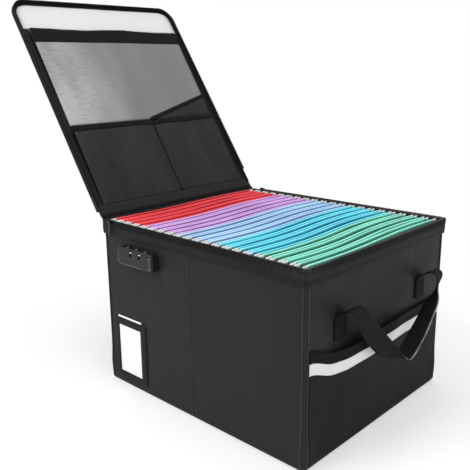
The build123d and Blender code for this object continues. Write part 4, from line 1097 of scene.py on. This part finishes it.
make_label()
make_lock_details()
for paint, nodes in ((WHITE_CARD, "label_card"), (FILM, "label_window"), (PLASTIC, "lock_housing"),
                     (BUTTON, "lock_button"), (DIAL, "lock_dial_1 lock_dial_2 lock_dial_3"),
                     (STEEL, "lock_pins lock_back_plate"), (RAIL, "file_rails"), (LINING, "wall_lining"),
                     (DARK_METAL, "lock_rivets zip_sliders zip_pull_front zip_pull_back"),
                     (BOARD, "end_boards back_boards front_boards base_board lid_board")):
    dress(paint, nodes)


# ---------------------------------------------------------------- stage, light and camera
def make_stage():
    """A white floor that fades into the white background, three soft lamps and an even sky."""
    mesh = bpy.data.meshes.new("floor")
    mesh.from_pydata([(-8, -8, 0), (8, -8, 0), (8, 8, 0), (-8, 8, 0)], [], [(0, 1, 2, 3)])
    paper = Paint("floor", (0.93, 0.93, 0.93), 0.95, 0.1)
    tree = paper.tree
    far = wire(tree, "VectorMath", wire(tree, "NewGeometry").outputs["Position"], operation="LENGTH")
    share = wire(tree, "MapRange", far.outputs["Value"], 0.28, 0.62, 0.45, 1, interpolation_type="SMOOTHSTEP")
    seen = wire(tree, "LightPath").outputs["Is Camera Ray"]
    share = wire(tree, "Math", share.outputs[0], seen, operation="MULTIPLY")
    glow = wire(tree, "Emission")
    mix = wire(tree, "MixShader", share.outputs[0], paper.shader.outputs[0], glow.outputs[0])
    tree.links.new(mix.outputs[0], tree.nodes["Material Output"].inputs[0])
    mesh.materials.append(paper.mat)
    floor = bpy.data.objects.new("floor", mesh)
    bpy.context.collection.objects.link(floor)
    for name, location, aim, size, power in (("key", (-0.6, -1.6, 1.5), 0.15, (1.2, 1), 26),
                                             ("fill", (1.6, -0.5, 0.9), 0.15, (1.2, 1.2), 12),
                                             ("top", (0, 0.1, 1.9), 0.2, (1.4, 1.4), 12)):
        data = bpy.data.lights.new(name, "AREA")
        data.shape = "RECTANGLE"
        data.size, data.size_y = size
        data.energy = power
        lamp = bpy.data.objects.new(name, data)
        lamp.location = location
        lamp.rotation_euler = (Vector((0, 0, aim)) - Vector(location)).to_track_quat("-Z", "Y").to_euler()
        bpy.context.collection.objects.link(lamp)
    world = bpy.data.worlds.new("studio")
    bpy.context.scene.world = world
    world.use_nodes = True
    tree = world.node_tree
    sky = tree.nodes["Background"]
    sky.inputs[0].default_value = (1, 1, 1, 1)
    sky.inputs[1].default_value = 0.55
    white = wire(tree, "Background", (1, 1, 1, 1), 1)
    rays = wire(tree, "LightPath").outputs
    seen = rays["Is Camera Ray"]
    for word in ("Is Glossy Ray", "Is Transmission Ray"):
        seen = wire(tree, "Math", seen, rays[word], operation="MAXIMUM").outputs[0]
    mix = wire(tree, "MixShader", seen, sky.outputs[0], white.outputs[0])
    tree.links.new(mix.outputs[0], tree.nodes["World Output"].inputs[0])


def make_camera():
    """The photo's camera: its angle and the place it looks at in mm, and its focal length and middle in the
    photo's pixels."""
    az, el, roll = radians(43.7), radians(14.3), radians(-0.7)
    target, distance, focal = Vector((-43.5, -41.5, 240.3)), 972.2, 654.7
    side, middle_x, middle_y, sensor = 470, 231.3, 231.2, 36
    back = Vector((sin(az) * cos(el), -cos(az) * cos(el), sin(el)))
    turn = (-back).to_track_quat("-Z", "Y").to_matrix().to_4x4() @ Matrix.Rotation(roll, 4, "Z")
    data = bpy.data.cameras.new("camera")
    cam = bpy.data.objects.new("camera", data)
    bpy.context.collection.objects.link(cam)
    cam.location = (target + back * distance) * MM
    cam.rotation_mode = "QUATERNION"
    cam.rotation_quaternion = turn.to_quaternion()
    data.sensor_width = sensor
    data.lens = focal * sensor / side
    data.shift_x, data.shift_y = (side / 2 - middle_x) / side, (middle_y - side / 2) / side
    data.clip_start, data.clip_end = 0.01, 50
    bpy.context.scene.camera = cam


make_stage()
make_camera()
bpy.context.scene.view_settings.view_transform = "Standard"

bpy.context.view_layer.update()
